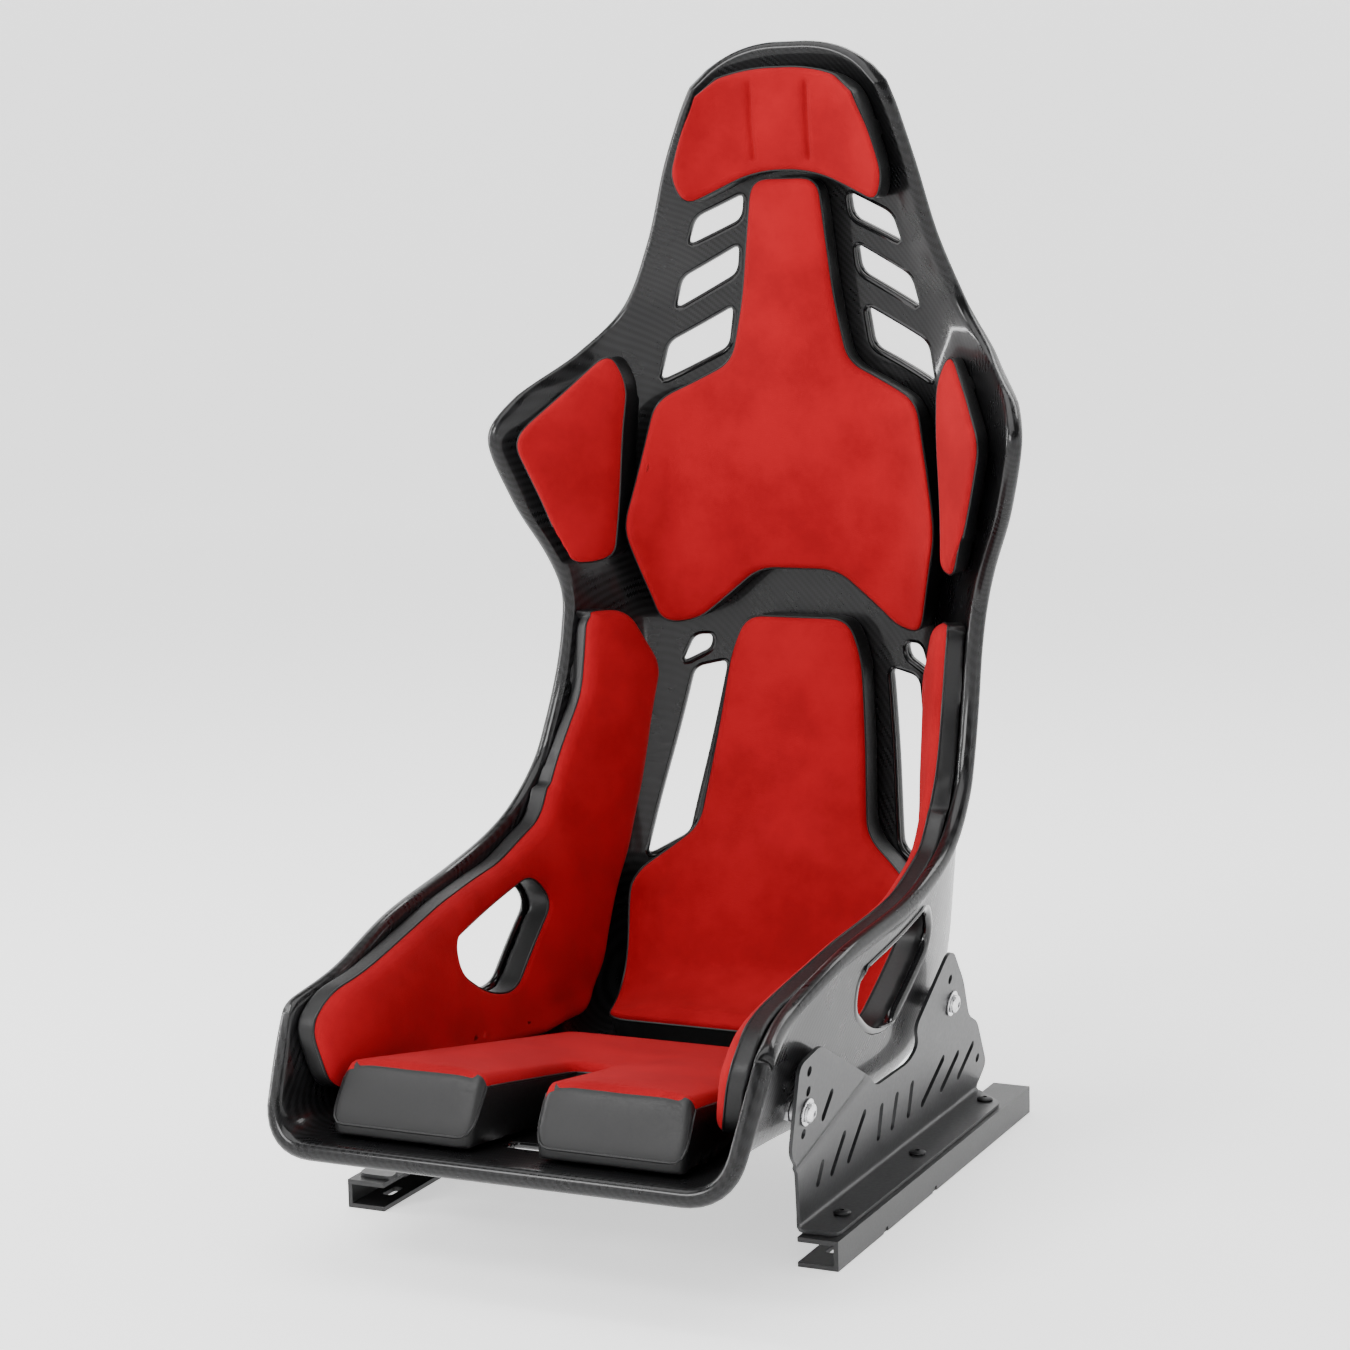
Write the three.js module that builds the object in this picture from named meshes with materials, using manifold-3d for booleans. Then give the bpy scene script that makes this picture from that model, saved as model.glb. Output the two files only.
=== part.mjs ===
// Racing bucket seat. A one-piece composite shell with a rolled rim carries separate foam pads and a seat
// cushion. Four bolts hold it between two steel side plates, and each plate is bolted to a floor rail.
// Millimetres, +Z up, floor at z = 0. The seat faces -Y and is symmetric about the plane x = 0.
import * as THREE from 'three';
import { mergeVertices } from 'three/addons/utils/BufferGeometryUtils.js';
import Module from 'manifold-3d';

// ---------------------------------------------------------------- driving dimensions
// Overall size of the shell
const seatWidth = 498;          // across the shoulder wings
const seatDepth = 636;          // front lip to the back of the shell
const seatHeight = 946;         // floor to the top of the head section

// Shell laminate
const shellWall = 5;
const rimThickness = 15;        // thickness of the rolled rim
const rimWidth = 20;            // how far the roll reaches in from the edge

// Foam pads, measured from the inner face of the shell
const padGap = 0.7;             // glue and hook-tape line under every pad
const headPadThickness = 30;
const shoulderPadThickness = 30;
const wingPadThickness = 25;
const bolsterPadThickness = 25;
const lumbarPadThickness = 35;
const cushionGap = 2;           // between the cushion and the pads beside it
const cushionBed = 3;           // felt under the cushion, between it and the pan
const cushionFrontHeight = 161; // top edge of the thigh lobes
const cushionRearHeight = 102;
const strapSlotWidth = 44;      // crotch strap slot in the pan
const strapSlotLength = 22;

// Side plates
const plateThickness = 3;
const plateLean = 8.5;          // degrees the plate leans outwards, following the shell
const flangeWidth = 35;
const spacerLength = 10;        // shortest spacer between shell and plate
const boltRadius = 4;           // M8
const boltHeadRadius = 8;
const boltHeadHeight = 5;
const washerRadius = 11;
const washerThickness = 1.6;
const spacerRadius = 9;
const insertRadius = 11;
const slotWidth = 8;            // lightening slots in the plate
const fitClearance = 0.3;       // round every shank and between faces that touch

// Floor rails, channel section open to the inside
const railLength = 450;
const railWidth = 34;
const railHeight = 24;
const railWall = 4;
const floorSlotLength = 22;
const floorSlotWidth = 9;
const railBoltRadius = 4;
const railBoltHeadRadius = 7;
const railBoltHeadHeight = 3;
const nutRadius = 7.2;
const nutHeight = 6.5;

// ---------------------------------------------------------------- shell surface
// The surface is drawn 498 wide, 636 deep and 946 high, and stretched to the driving size.
const across = seatWidth / 498;
const along = seatDepth / 636;
const up = seatHeight / 946;

// One row for each station, from the front lip, along the pan and up the back to the top of the head:
// centre y, centre z, rim x, rim y, rim z, half-width of the flat middle, length of the corner curve.
const stations = [
  [-436, 106, 200, -387, 195, 188, 26],
  [-400, 104, 197, -372, 204, 182, 36],
  [-320, 96, 189, -316, 217, 176, 50],
  [-220, 84, 195, -222, 240, 172, 60],
  [-110, 72, 202, -110, 254, 168, 60],
  [-10, 66, 201, -40, 269, 166, 65],
  [62, 74, 199, 6, 288, 161, 70],
  [115, 110, 196, 43, 318, 154, 70],
  [143, 170, 194, 62, 349, 147, 70],
  [163, 250, 192, 80, 390, 139, 70],
  [185, 330, 191, 93, 433, 134, 65],
  [200, 410, 194, 99, 466, 130, 60],
  [204, 480, 206, 90, 501, 125, 60],
  [201, 545, 228, 70, 549, 125, 60],
  [197, 600, 243, 55, 606, 125, 60],
  [194, 640, 232, 84, 642, 125, 60],
  [192, 680, 195, 140, 680, 120, 50],
  [191, 720, 162, 165, 718, 100, 50],
  [189, 775, 136, 164, 773, 85, 50],
  [187, 840, 116, 160, 838, 70, 50],
  [182, 905, 101, 160, 880, 55, 45],
  [172, 946, 88, 160, 908, 50, 40],
].map(([cy, cz, rx, ry, rz, flat, corner]) => [
  cy * along, cz * up, rx * across, ry * along, rz * up, flat * across, corner,
]);
const lastStation = stations.length - 1;

// Station values at any k, by a Catmull-Rom curve through the rows.
function stationAt(k) {
  const i = Math.min(Math.floor(k), lastStation - 1);
  const f = k - i;
  const row = (j) => stations[THREE.MathUtils.clamp(j, 0, lastStation)];
  const [a, b, c, d] = [row(i - 1), row(i), row(i + 1), row(i + 2)];
  return b.map((_, n) => 0.5 * (2 * b[n] + (c[n] - a[n]) * f
    + (2 * a[n] - 5 * b[n] + 4 * c[n] - d[n]) * f * f + (3 * b[n] - a[n] - 3 * c[n] + d[n]) * f ** 3));
}

// Half of one cross-section: a flat middle, a curved corner and a straight wing up to the rim.
function sectionAt(k) {
  const [cy, cz, rx, ry, rz, flat, corner] = stationAt(k);
  const rise = Math.hypot(ry - cy, rz - cz);
  const lean = rx - flat;
  const wing = Math.hypot(lean, rise);
  const cornerIn = Math.min(corner, 0.9 * flat);
  const cornerOut = Math.min(corner, 0.6 * wing);
  const chord = Math.hypot(cornerIn + lean / wing * cornerOut, rise / wing * cornerOut);
  const middle = flat - cornerIn;
  const curve = (2 * chord + cornerIn + cornerOut) / 3;
  return { cy, cz, ry, rz, rise, lean, wing, flat, cornerIn, cornerOut, middle, curve,
    girth: middle + curve + wing - cornerOut };
}

// Point on the inner face of the shell: station k, and t from -1 on the left rim to 1 on the right rim.
function surfacePoint(k, t) {
  const s = sectionAt(k);
  const run = Math.abs(t) * s.girth;
  let x = run;
  let w = 0;
  if (run > s.middle + s.curve) {
    const v = s.cornerOut + run - s.middle - s.curve;
    x = s.flat + s.lean / s.wing * v;
    w = s.rise / s.wing * v;
  } else if (run > s.middle) {
    const u = (run - s.middle) / s.curve;
    x = (1 - u) ** 2 * s.middle + 2 * u * (1 - u) * s.flat + u * u * (s.flat + s.lean / s.wing * s.cornerOut);
    w = u * u * s.rise / s.wing * s.cornerOut;
  }
  return new THREE.Vector3(
    Math.sign(t) * x,
    s.cy + (s.ry - s.cy) / s.rise * w,
    s.cz + (s.rz - s.cz) / s.rise * w,
  );
}

// Unit normal of the inner face, towards the driver.
function surfaceNormal(k, t) {
  const step = 0.01;
  const [k0, k1] = [Math.max(k - step, 0), Math.min(k + step, lastStation)];
  const [t0, t1] = [Math.max(t - step, -1), Math.min(t + step, 1)];
  const alongK = surfacePoint(k1, t).sub(surfacePoint(k0, t));
  const alongT = surfacePoint(k, t1).sub(surfacePoint(k, t0));
  return alongT.cross(alongK).normalize();
}

function offsetPoint(k, t, distance) {
  return surfacePoint(k, t).addScaledVector(surfaceNormal(k, t), distance);
}

// Distance from (k, t) to the nearest edge of the shell, measured on the surface.
function edgeDistance(k, t) {
  const s = sectionAt(k);
  const first = sectionAt(0);
  const last = sectionAt(lastStation);
  return Math.min(
    (1 - Math.abs(t)) * s.girth,
    Math.hypot(s.cy - first.cy, s.cz - first.cz),
    Math.hypot(s.cy - last.cy, s.cz - last.cz),
  );
}

// Depth of the laminate behind the inner face: the plain wall, swelling to the rolled rim at the edge.
function laminate(k, t) {
  const inRim = THREE.MathUtils.clamp(1 - edgeDistance(k, t) / rimWidth, 0, 1);
  return shellWall + (rimThickness - shellWall) * Math.sqrt(inRim);
}

// Grid lines: closer together at the corners and rim, and halfway between stations where the pan turns up
// and the wings narrow to the head.
const halfLines = [0, 0.16, 0.32, 0.44, 0.56, 0.68, 0.8, 0.92, 1];
const gridT = [...halfLines.slice(1).reverse().map((t) => -t), ...halfLines];
const gridK = [...stations.keys(), 0.25, 5.5, 6.5, 7.5, 14.5, 15.5, lastStation - 0.3].sort((a, b) => a - b);

// ---------------------------------------------------------------- solids
const wasm = await Module();
wasm.setup();

function solidFrom(geometry) {
  return new wasm.Manifold(new wasm.Mesh({
    numProp: 3,
    vertProperties: new Float32Array(geometry.attributes.position.array),
    triVerts: new Uint32Array(geometry.index.array),
  }));
}

function toManifold(geometry) {
  const bare = geometry.clone();
  bare.deleteAttribute('normal');
  bare.deleteAttribute('uv');
  return solidFrom(mergeVertices(bare, 1e-4));
}

function toGeometry(solid) {
  const mesh = solid.getMesh();
  const geometry = new THREE.BufferGeometry();
  geometry.setAttribute('position', new THREE.BufferAttribute(mesh.vertProperties, 3));
  geometry.setIndex(new THREE.BufferAttribute(mesh.triVerts, 1));
  return geometry;
}

// Geometry from points and triangles, turned so that its faces point out.
function closedGeometry(points, triangles) {
  let volume = 0;
  for (const [a, b, c] of triangles) {
    volume += points[a].dot(new THREE.Vector3().crossVectors(points[b], points[c]));
  }
  const index = triangles.flatMap(([a, b, c]) => (volume > 0 ? [a, b, c] : [a, c, b]));
  const geometry = new THREE.BufferGeometry().setFromPoints(points);
  geometry.setIndex(index);
  return geometry;
}

// Starts a grid cell at the corner that mirrors its diagonal about the middle, so that both halves have the
// same facets.
function mirroredDiagonal(column, corners) {
  return column < gridT.length / 2 - 1 ? [...corners.slice(1), corners[0]] : corners;
}

// Solid sheet over the whole shell grid, between two distances from the inner face.
function sheet(near, far) {
  const columns = gridT.length;
  const layer = gridK.length * columns;
  const layerAt = (depth) => gridK.flatMap((k) => gridT.map((t) => offsetPoint(k, t, depth(k, t))));
  const points = [...layerAt(near), ...layerAt(far)];
  const triangles = [];
  const quad = (a, b, c, d) => triangles.push([a, b, c], [a, c, d]);
  for (let i = 0; i < gridK.length - 1; i += 1) {
    for (let j = 0; j < columns - 1; j += 1) {
      const corners = [0, 1, columns + 1, columns].map((step) => i * columns + j + step);
      const [a, b, c, d] = mirroredDiagonal(j, corners);
      quad(a, b, c, d);
      quad(layer + c, layer + b, layer + a, layer + d);
    }
    for (const [a, b] of [[i * columns, (i + 1) * columns], [(i + 2) * columns - 1, (i + 1) * columns - 1]]) {
      quad(a, b, layer + b, layer + a);
    }
  }
  for (let j = 0; j < columns - 1; j += 1) {
    const top = (gridK.length - 1) * columns + j;
    quad(j + 1, j, layer + j, layer + j + 1);
    quad(top, top + 1, layer + top + 1, layer + top);
  }
  return solidFrom(closedGeometry(points, triangles));
}

// The space inside the pan: cross-sections at a gap from the shell, closed straight across from rim to rim.
function panSpace(gap) {
  const rows = gridK.filter((k) => k <= 8);
  const columns = gridT.length;
  const points = rows.flatMap((k) => gridT.map((t) => offsetPoint(k, t, gap)));
  const triangles = [];
  for (let i = 0; i < rows.length - 1; i += 1) {
    for (let j = 0; j < columns; j += 1) {
      const low = i * columns + j;
      const next = i * columns + (j + 1) % columns;
      const [a, b, c, d] = mirroredDiagonal(j, [low, next, next + columns, low + columns]);
      triangles.push([a, b, c], [a, c, d]);
    }
  }
  for (const [start, flip] of [[0, true], [(rows.length - 1) * columns, false]]) {
    const ring = points.slice(start, start + columns);
    const centre = ring.reduce((sum, p) => sum.add(p), new THREE.Vector3()).divideScalar(columns);
    points.push(centre);
    for (let j = 0; j < columns; j += 1) {
      const [a, b] = [start + j, start + (j + 1) % columns];
      triangles.push(flip ? [b, a, points.length - 1] : [a, b, points.length - 1]);
    }
  }
  return solidFrom(closedGeometry(points, triangles));
}

// Outline with each corner rounded by a curve that starts at most `radius` from the corner.
function roundedShape(corners, radius) {
  const points = corners.map(([a, b]) => new THREE.Vector2(a, b));
  const shape = new THREE.Shape();
  points.forEach((corner, i) => {
    const before = points[(i + points.length - 1) % points.length];
    const after = points[(i + 1) % points.length];
    const reach = Math.min(radius, 0.45 * corner.distanceTo(before), 0.45 * corner.distanceTo(after));
    const enter = corner.clone().lerp(before, reach / corner.distanceTo(before));
    const leave = corner.clone().lerp(after, reach / corner.distanceTo(after));
    if (i === 0) {
      shape.moveTo(enter.x, enter.y);
    } else {
      shape.lineTo(enter.x, enter.y);
    }
    shape.quadraticCurveTo(corner.x, corner.y, leave.x, leave.y);
  });
  return shape;
}

// Straight prism of an outline. Along 'x' the outline is (y, z), along 'y' it is (x, z), along 'z' (x, y).
const prismAxes = {
  x: [[0, 1, 0], [0, 0, 1], [1, 0, 0]],
  y: [[1, 0, 0], [0, 0, 1], [0, -1, 0]],
  z: [[1, 0, 0], [0, 1, 0], [0, 0, 1]],
};
function prismGeometry(shape, axis, low, high, curveSegments = 2) {
  const options = { depth: high - low, bevelEnabled: false, curveSegments };
  const geometry = new THREE.ExtrudeGeometry(shape, options);
  const basis = prismAxes[axis].map((v) => new THREE.Vector3(...v));
  geometry.applyMatrix4(new THREE.Matrix4().makeBasis(...basis));
  const start = { x: [low, 0, 0], y: [0, high, 0], z: [0, 0, low] }[axis];
  return geometry.translate(...start);
}
function prism(shape, axis, low, high) {
  return toManifold(prismGeometry(shape, axis, low, high));
}

// Outlines drawn on the shell follow its size.
const frontal = (corners) => corners.map(([x, z]) => [x * across, z * up]);
const lateral = (corners) => corners.map(([y, z]) => [y * along, z * up]);
const mirrored = (corners) => corners.map(([x, z]) => [-x, z]);
const bothHalves = (right) => [...right, ...mirrored(right).reverse()];

// Solid of revolution about Z from [radius, z] points; a ring's profile closes on itself.
function turned(profile, segments) {
  const points = profile.map(([r, z]) => new THREE.Vector2(r, z));
  return new THREE.LatheGeometry(points, segments).rotateX(Math.PI / 2);
}
function rod(radius, length) {
  return turned([[0, 0], [radius, 0], [radius, length], [0, length]], 8);
}
function ring(inner, outer, length, segments = 8) {
  return turned([[inner, 0], [outer, 0], [outer, length], [inner, length], [inner, 0]], segments);
}

// ---------------------------------------------------------------- materials
function finish(color, roughness, metalness) {
  return new THREE.MeshStandardMaterial({ color, roughness, metalness });
}
const laminateFinish = finish(0x101113, 0.22, 0.1);
const suedeFinish = finish(0xc81e28, 0.95, 0);
const plateFinish = finish(0x2c2d30, 0.45, 0.5);
const railFinish = finish(0x1c1d1f, 0.5, 0.4);
const zincFinish = finish(0xc9cbcd, 0.3, 0.95);
const blackSteelFinish = finish(0x17181a, 0.45, 0.7);
const spacerFinish = finish(0x8e9194, 0.4, 0.9);

const seat = new THREE.Group();
function place(name, geometry, material, parent = seat) {
  const mesh = new THREE.Mesh(geometry, material);
  mesh.name = name;
  parent.add(mesh);
  return mesh;
}

// Right-hand solids are made once; the left-hand ones are their mirror images.
function onBothSides(name, solid, material) {
  place(`${name}_right`, toGeometry(solid), material);
  place(`${name}_left`, toGeometry(solid.mirror([1, 0, 0])), material);
}

// ---------------------------------------------------------------- openings in the shell
const cutDepth = 400;
const harnessVents = [
  [[50, 818], [96, 797], [105, 770], [53, 794]],
  [[56, 773], [112, 743], [120, 713], [59, 746]],
  [[64, 718], [127, 685], [135, 648], [70, 680]],
];
const lumbarVent = [[80, 393], [112, 386], [142, 214], [104, 236]];
const upperSlot = [[95, 416], [113, 416], [124, 388], [97, 402]];
const beltOpening = [[-176, 206], [-30, 232], [-4, 202], [-90, 141], [-135, 150], [-174, 176]];
const ventRound = 9;
const beltRound = 22;

const frontalCuts = [...harnessVents, lumbarVent, upperSlot]
  .flatMap((corners) => [corners, mirrored(corners)])
  .map((corners) => prism(roundedShape(frontal(corners), ventRound), 'y', 60 * along, cutDepth * along));
const beltCuts = prism(roundedShape(lateral(beltOpening), beltRound), 'x', -seatWidth, seatWidth);
const strapSlotCentre = -365 * along;
const strapSlot = roundedShape([
  [-strapSlotWidth / 2, strapSlotCentre - strapSlotLength / 2],
  [strapSlotWidth / 2, strapSlotCentre - strapSlotLength / 2],
  [strapSlotWidth / 2, strapSlotCentre + strapSlotLength / 2],
  [-strapSlotWidth / 2, strapSlotCentre + strapSlotLength / 2],
], strapSlotLength / 2);
const strapCut = prism(strapSlot, 'z', 40 * up, 160 * up);

// ---------------------------------------------------------------- side mounting
// Each bolt is placed by its height and depth on the shell; the plate stands a spacer's length off the wall.
const railTop = railHeight + fitClearance;
const leanAngle = THREE.MathUtils.degToRad(plateLean);
const boltSites = { front: [-281 * along, 125 * up], rear: [34 * along, 132 * up] };

// Half-width of the shell's inner face at a given depth and height on its side wall.
function wallHalfWidth(y, z) {
  let nearest = { gap: Infinity, x: 0 };
  for (let k = 0; k <= 9; k += 0.02) {
    for (let t = 0.45; t <= 0.95; t += 0.01) {
      const p = surfacePoint(k, t);
      const gap = Math.hypot(p.y - y, p.z - z);
      if (gap < nearest.gap) {
        nearest = { gap, x: p.x };
      }
    }
  }
  return nearest.x;
}

// In the plate's own frame the plate lies at n = 0 to -plateThickness, v runs up it and y along the seat.
const wallAt = {
  front: wallHalfWidth(...boltSites.front),
  rear: wallHalfWidth(...boltSites.rear),
};
const outerWall = (end) => wallAt[end] + shellWall;
const heightOnPlate = (end) => (boltSites[end][1] - railTop) / Math.cos(leanAngle);
const bendLineX = Math.max(...Object.keys(boltSites).map((end) => (
  outerWall(end) + spacerLength + plateThickness - Math.tan(leanAngle) * (boltSites[end][1] - railTop)
)));
const plateFrame = new THREE.Matrix4()
  .makeTranslation(bendLineX, 0, railTop)
  .multiply(new THREE.Matrix4().makeRotationY(leanAngle));
// Maps a turned piece's Z axis to the plate's outward normal, at a bolt's place on the plate.
function boltFrame(end, standOff) {
  const [y] = boltSites[end];
  return plateFrame.clone()
    .multiply(new THREE.Matrix4().makeTranslation(standOff, y, heightOnPlate(end)))
    .multiply(new THREE.Matrix4().makeRotationY(Math.PI / 2));
}
// Distance along the bolt from the plate's outer face in to the shell's outer face.
function reachToShell(end) {
  const plateX = bendLineX + Math.tan(leanAngle) * (boltSites[end][1] - railTop);
  return (plateX - outerWall(end)) * Math.cos(leanAngle);
}
const insertProud = 2;          // the insert stands out of the sloping wall to give the spacer a flat face
const insertFlush = 0.5;        // its inner end is trimmed this far below the inner face of the shell
const insertOverrun = 6;        // length that is trimmed away

const insertCuts = [];
for (const end of Object.keys(boltSites)) {
  const cut = rod(insertRadius + fitClearance, 60);
  cut.applyMatrix4(boltFrame(end, -reachToShell(end) - 40));
  insertCuts.push(toManifold(cut));
  insertCuts.push(toManifold(cut).mirror([1, 0, 0]));
}

// ---------------------------------------------------------------- shell
let shell = sheet(() => 0, (k, t) => -laminate(k, t));
for (const cut of [...frontalCuts, beltCuts, strapCut, ...insertCuts]) {
  shell = shell.subtract(cut);
}
place('seat_shell', toGeometry(shell), laminateFinish);

// ---------------------------------------------------------------- pads
function padSheet(thickness) {
  return sheet(() => padGap + thickness, () => padGap);
}
const padRound = 16;
const headPadRound = 28;

const headOutline = bothHalves([[30, 925], [78, 910], [101, 832], [92, 806], [28, 836]]);
const shoulderOutline = bothHalves([
  [32, 829], [44, 725], [56, 668], [126, 634], [150, 520], [126, 430], [98, 432], [38, 481],
]);
const lumbarOutline = bothHalves([[50, 438], [64, 404], [82, 250], [136, 208], [134, 150], [110, 60]]);
const wingOutline = [[163, 680], [148, 650], [157, 492], [184, 490], [220, 606]];
const bolsterOutline = [
  [90, 448], [134, 446], [158, 394], [111, 228], [62, 132], [16, 99], [-60, 98], [-220, 114], [-380, 132],
  [-390, 184], [-360, 206], [-179, 237], [-68, 249], [6, 274], [74, 376],
];

// The lumbar pad runs down on to the rear of the pan and ends there in an upright face.
const lumbarEnd = 2 * along;
for (const [name, outline, thickness, round] of [
  ['head_pad', headOutline, headPadThickness, headPadRound],
  ['shoulder_pad', shoulderOutline, shoulderPadThickness, padRound],
  ['lumbar_pad', lumbarOutline, lumbarPadThickness, padRound],
]) {
  const column = prism(roundedShape(frontal(outline), round), 'y', lumbarEnd, cutDepth * along);
  place(name, toGeometry(padSheet(thickness).intersect(column)), suedeFinish);
}

const wingColumn = prism(roundedShape(frontal(wingOutline), padRound), 'y', 0, cutDepth * along);
onBothSides('wing_pad', padSheet(wingPadThickness).intersect(wingColumn), suedeFinish);

// The bolster runs from the back of the shell, along the side wall, to the front, round the belt opening.
const bolsterInnerX = 90 * across; // keeps the bolster off the flat middle of the pan
const bolsterColumn = prism(roundedShape(lateral(bolsterOutline), padRound), 'x', bolsterInnerX, seatWidth);
const bolster = padSheet(bolsterPadThickness).intersect(bolsterColumn).subtract(beltCuts);
onBothSides('bolster_pad', bolster, suedeFinish);

// ---------------------------------------------------------------- seat cushion
// Two thigh lobes with a channel between them for the crotch strap.
const cushionHalfWidth = { front: 152 * across, rear: 126 * across };
const cushionFront = -411 * along;
const cushionFrontTop = -385 * along;
const cushionRear = -58 * along;
const channelHalfWidth = { front: 27 * across, rear: 15 * across };
const channelEnd = -258 * along;
const cushionPlan = [
  [channelHalfWidth.front, cushionFront], [cushionHalfWidth.front, cushionFront],
  [cushionHalfWidth.rear, cushionRear], [-cushionHalfWidth.rear, cushionRear],
  [-cushionHalfWidth.front, cushionFront], [-channelHalfWidth.front, cushionFront],
  [-channelHalfWidth.rear, channelEnd], [channelHalfWidth.rear, channelEnd],
];
const cushionSide = [
  [cushionFront, 50 * up], [cushionFront, 118 * up], [cushionFrontTop, cushionFrontHeight * up],
  [cushionRear, cushionRearHeight * up], [cushionRear, 50 * up],
];
const bolsterClearance = sheet(() => padGap + bolsterPadThickness + cushionGap, () => -shellWall)
  .intersect(prism(roundedShape(lateral(bolsterOutline).map(([y, z]) => [y, z - cushionGap]), padRound),
    'x', -seatWidth, seatWidth));
const cushion = prism(roundedShape(cushionPlan, 12), 'z', 0, 250 * up)
  .intersect(prism(roundedShape(cushionSide, 10), 'x', -seatWidth, seatWidth))
  .intersect(panSpace(cushionBed))
  .subtract(bolsterClearance);
place('seat_cushion', toGeometry(cushion), suedeFinish);

// ---------------------------------------------------------------- floor rails
const railRear = 170 * along;
const railFront = railRear - railLength;
const railOuterX = bendLineX + flangeWidth + 4;
const railInnerX = railOuterX - railWidth;
const railBoltX = (railInnerX + railOuterX - railWall) / 2;
const railBoltPitch = 165;
const railBoltYs = [-1, 0, 1].map((i) => -60 * along + i * railBoltPitch);
const railBoltNames = ['front', 'middle', 'rear'];

const channel = [
  [railInnerX, 0], [railOuterX, 0], [railOuterX, railHeight], [railInnerX, railHeight],
  [railInnerX, railHeight - railWall], [railOuterX - railWall, railHeight - railWall],
  [railOuterX - railWall, railWall], [railInnerX, railWall],
];
function railSolid() {
  let rail = prism(new THREE.Shape(channel.map((p) => new THREE.Vector2(...p))), 'y', railFront, railRear);
  for (const y of railBoltYs) {
    const hole = rod(railBoltRadius + fitClearance, 20);
    rail = rail.subtract(toManifold(hole.translate(railBoltX, y, railHeight - 10)));
  }
  for (const y of [railFront + 40, railRear - 40]) {
    const slot = roundedShape([
      [railBoltX - floorSlotWidth / 2, y - floorSlotLength / 2],
      [railBoltX + floorSlotWidth / 2, y - floorSlotLength / 2],
      [railBoltX + floorSlotWidth / 2, y + floorSlotLength / 2],
      [railBoltX - floorSlotWidth / 2, y + floorSlotLength / 2],
    ], floorSlotWidth / 2);
    rail = rail.subtract(prism(slot, 'z', -5, railHeight / 2));
  }
  return rail;
}

// ---------------------------------------------------------------- side plates
// Ears rise round the two bolts, with an open arch between them; slots lighten the lower part.
const slotCorners = (y0, v0, y1, v1) => {
  const direction = new THREE.Vector2(y1 - y0, v1 - v0).normalize();
  const aside = new THREE.Vector2(-direction.y, direction.x).multiplyScalar(slotWidth / 2);
  return [
    [y0 - aside.x, v0 - aside.y], [y1 - aside.x, v1 - aside.y], [y1 + direction.x * 2, v1 + direction.y * 2],
    [y1 + aside.x, v1 + aside.y], [y0 + aside.x, v0 + aside.y], [y0 - direction.x * 2, v0 - direction.y * 2],
  ].map(([y, v]) => new THREE.Vector2(y, v));
};
const [frontY, rearY] = [boltSites.front[0], boltSites.rear[0]];
const [frontV, rearV] = [heightOnPlate('front'), heightOnPlate('rear')];
const earReach = 50;            // top of an ear above its bolt
const archV = Math.min(frontV, rearV) - 22;
const tailY = railRear - 14;
const plateOutline = [
  [frontY + 19, 0], [frontY - 4, archV - 22], [frontY - 20, archV - 8], [frontY - 25, frontV + earReach - 6],
  [frontY + 14, frontV + earReach], [frontY + 133, archV + 14], [frontY + 152, archV], [rearY - 88, archV],
  [rearY - 70, archV + 10], [rearY - 82, rearV], [rearY - 24, rearV + earReach],
  [rearY - 10, rearV + earReach - 2],
  [rearY + 26, rearV + 14], [rearY + 54, archV + 4], [rearY + 80, archV - 8], [tailY, 22], [tailY - 30, 0],
];
const slotLow = 30;
const slotHigh = Math.min(56, archV - 18);
const plateSlots = [
  [frontY + 46, slotLow, frontY + 50, slotLow + 14], [frontY + 75, slotLow, frontY + 91, slotHigh],
  [frontY + 110, slotLow, frontY + 132, slotHigh + 6], [frontY + 39, frontV - 15, frontY + 50, frontV + 1],
  [rearY - 141, slotLow, rearY - 143, slotHigh], [rearY - 110, slotLow, rearY - 109, slotHigh],
  [rearY - 73, slotLow, rearY - 74, slotHigh], [rearY - 40, slotLow, rearY - 2, slotHigh + 3],
  [rearY + 6, slotLow, rearY + 36, slotHigh - 3], [rearY + 48, slotLow, rearY + 74, slotHigh - 5],
];
const adjustHoles = [
  [frontY, frontV - 18], [frontY - 1, frontV + 17], [frontY - 4, frontV + 34], [rearY - 11, rearV + 24],
  [tailY - 28, slotLow + 4],
];

function roundHole(y, v, radius) {
  const angles = Array.from({ length: 8 }, (_, i) => i * Math.PI / 4);
  const points = angles.map((a) => new THREE.Vector2(y + radius * Math.cos(a), v + radius * Math.sin(a)));
  return new THREE.Path(points);
}
function plateSolid() {
  const shape = roundedShape(plateOutline, 9);
  for (const slot of plateSlots) {
    shape.holes.push(new THREE.Path(slotCorners(...slot)));
  }
  for (const [y, v] of adjustHoles) {
    shape.holes.push(roundHole(y, v, boltRadius));
  }
  for (const end of Object.keys(boltSites)) {
    shape.holes.push(roundHole(boltSites[end][0], heightOnPlate(end), boltRadius + fitClearance));
  }
  const web = prismGeometry(shape, 'x', -plateThickness, 0).applyMatrix4(plateFrame);
  // The web's foot is sunk into the flange so that the bend is solid.
  const foot = [
    [bendLineX - plateThickness, frontY + 10], [bendLineX + flangeWidth, frontY + 10],
    [bendLineX + flangeWidth, tailY - 52], [bendLineX + 4, tailY - 22],
    [bendLineX - plateThickness, tailY - 22],
  ];
  const footShape = new THREE.Shape(foot.map((p) => new THREE.Vector2(...p)));
  let flange = prism(footShape, 'z', railTop, railTop + plateThickness);
  for (const y of railBoltYs) {
    const hole = rod(railBoltRadius + fitClearance, 20);
    flange = flange.subtract(toManifold(hole.translate(railBoltX, y, railTop - 8)));
  }
  return toManifold(web).add(flange);
}

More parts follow.
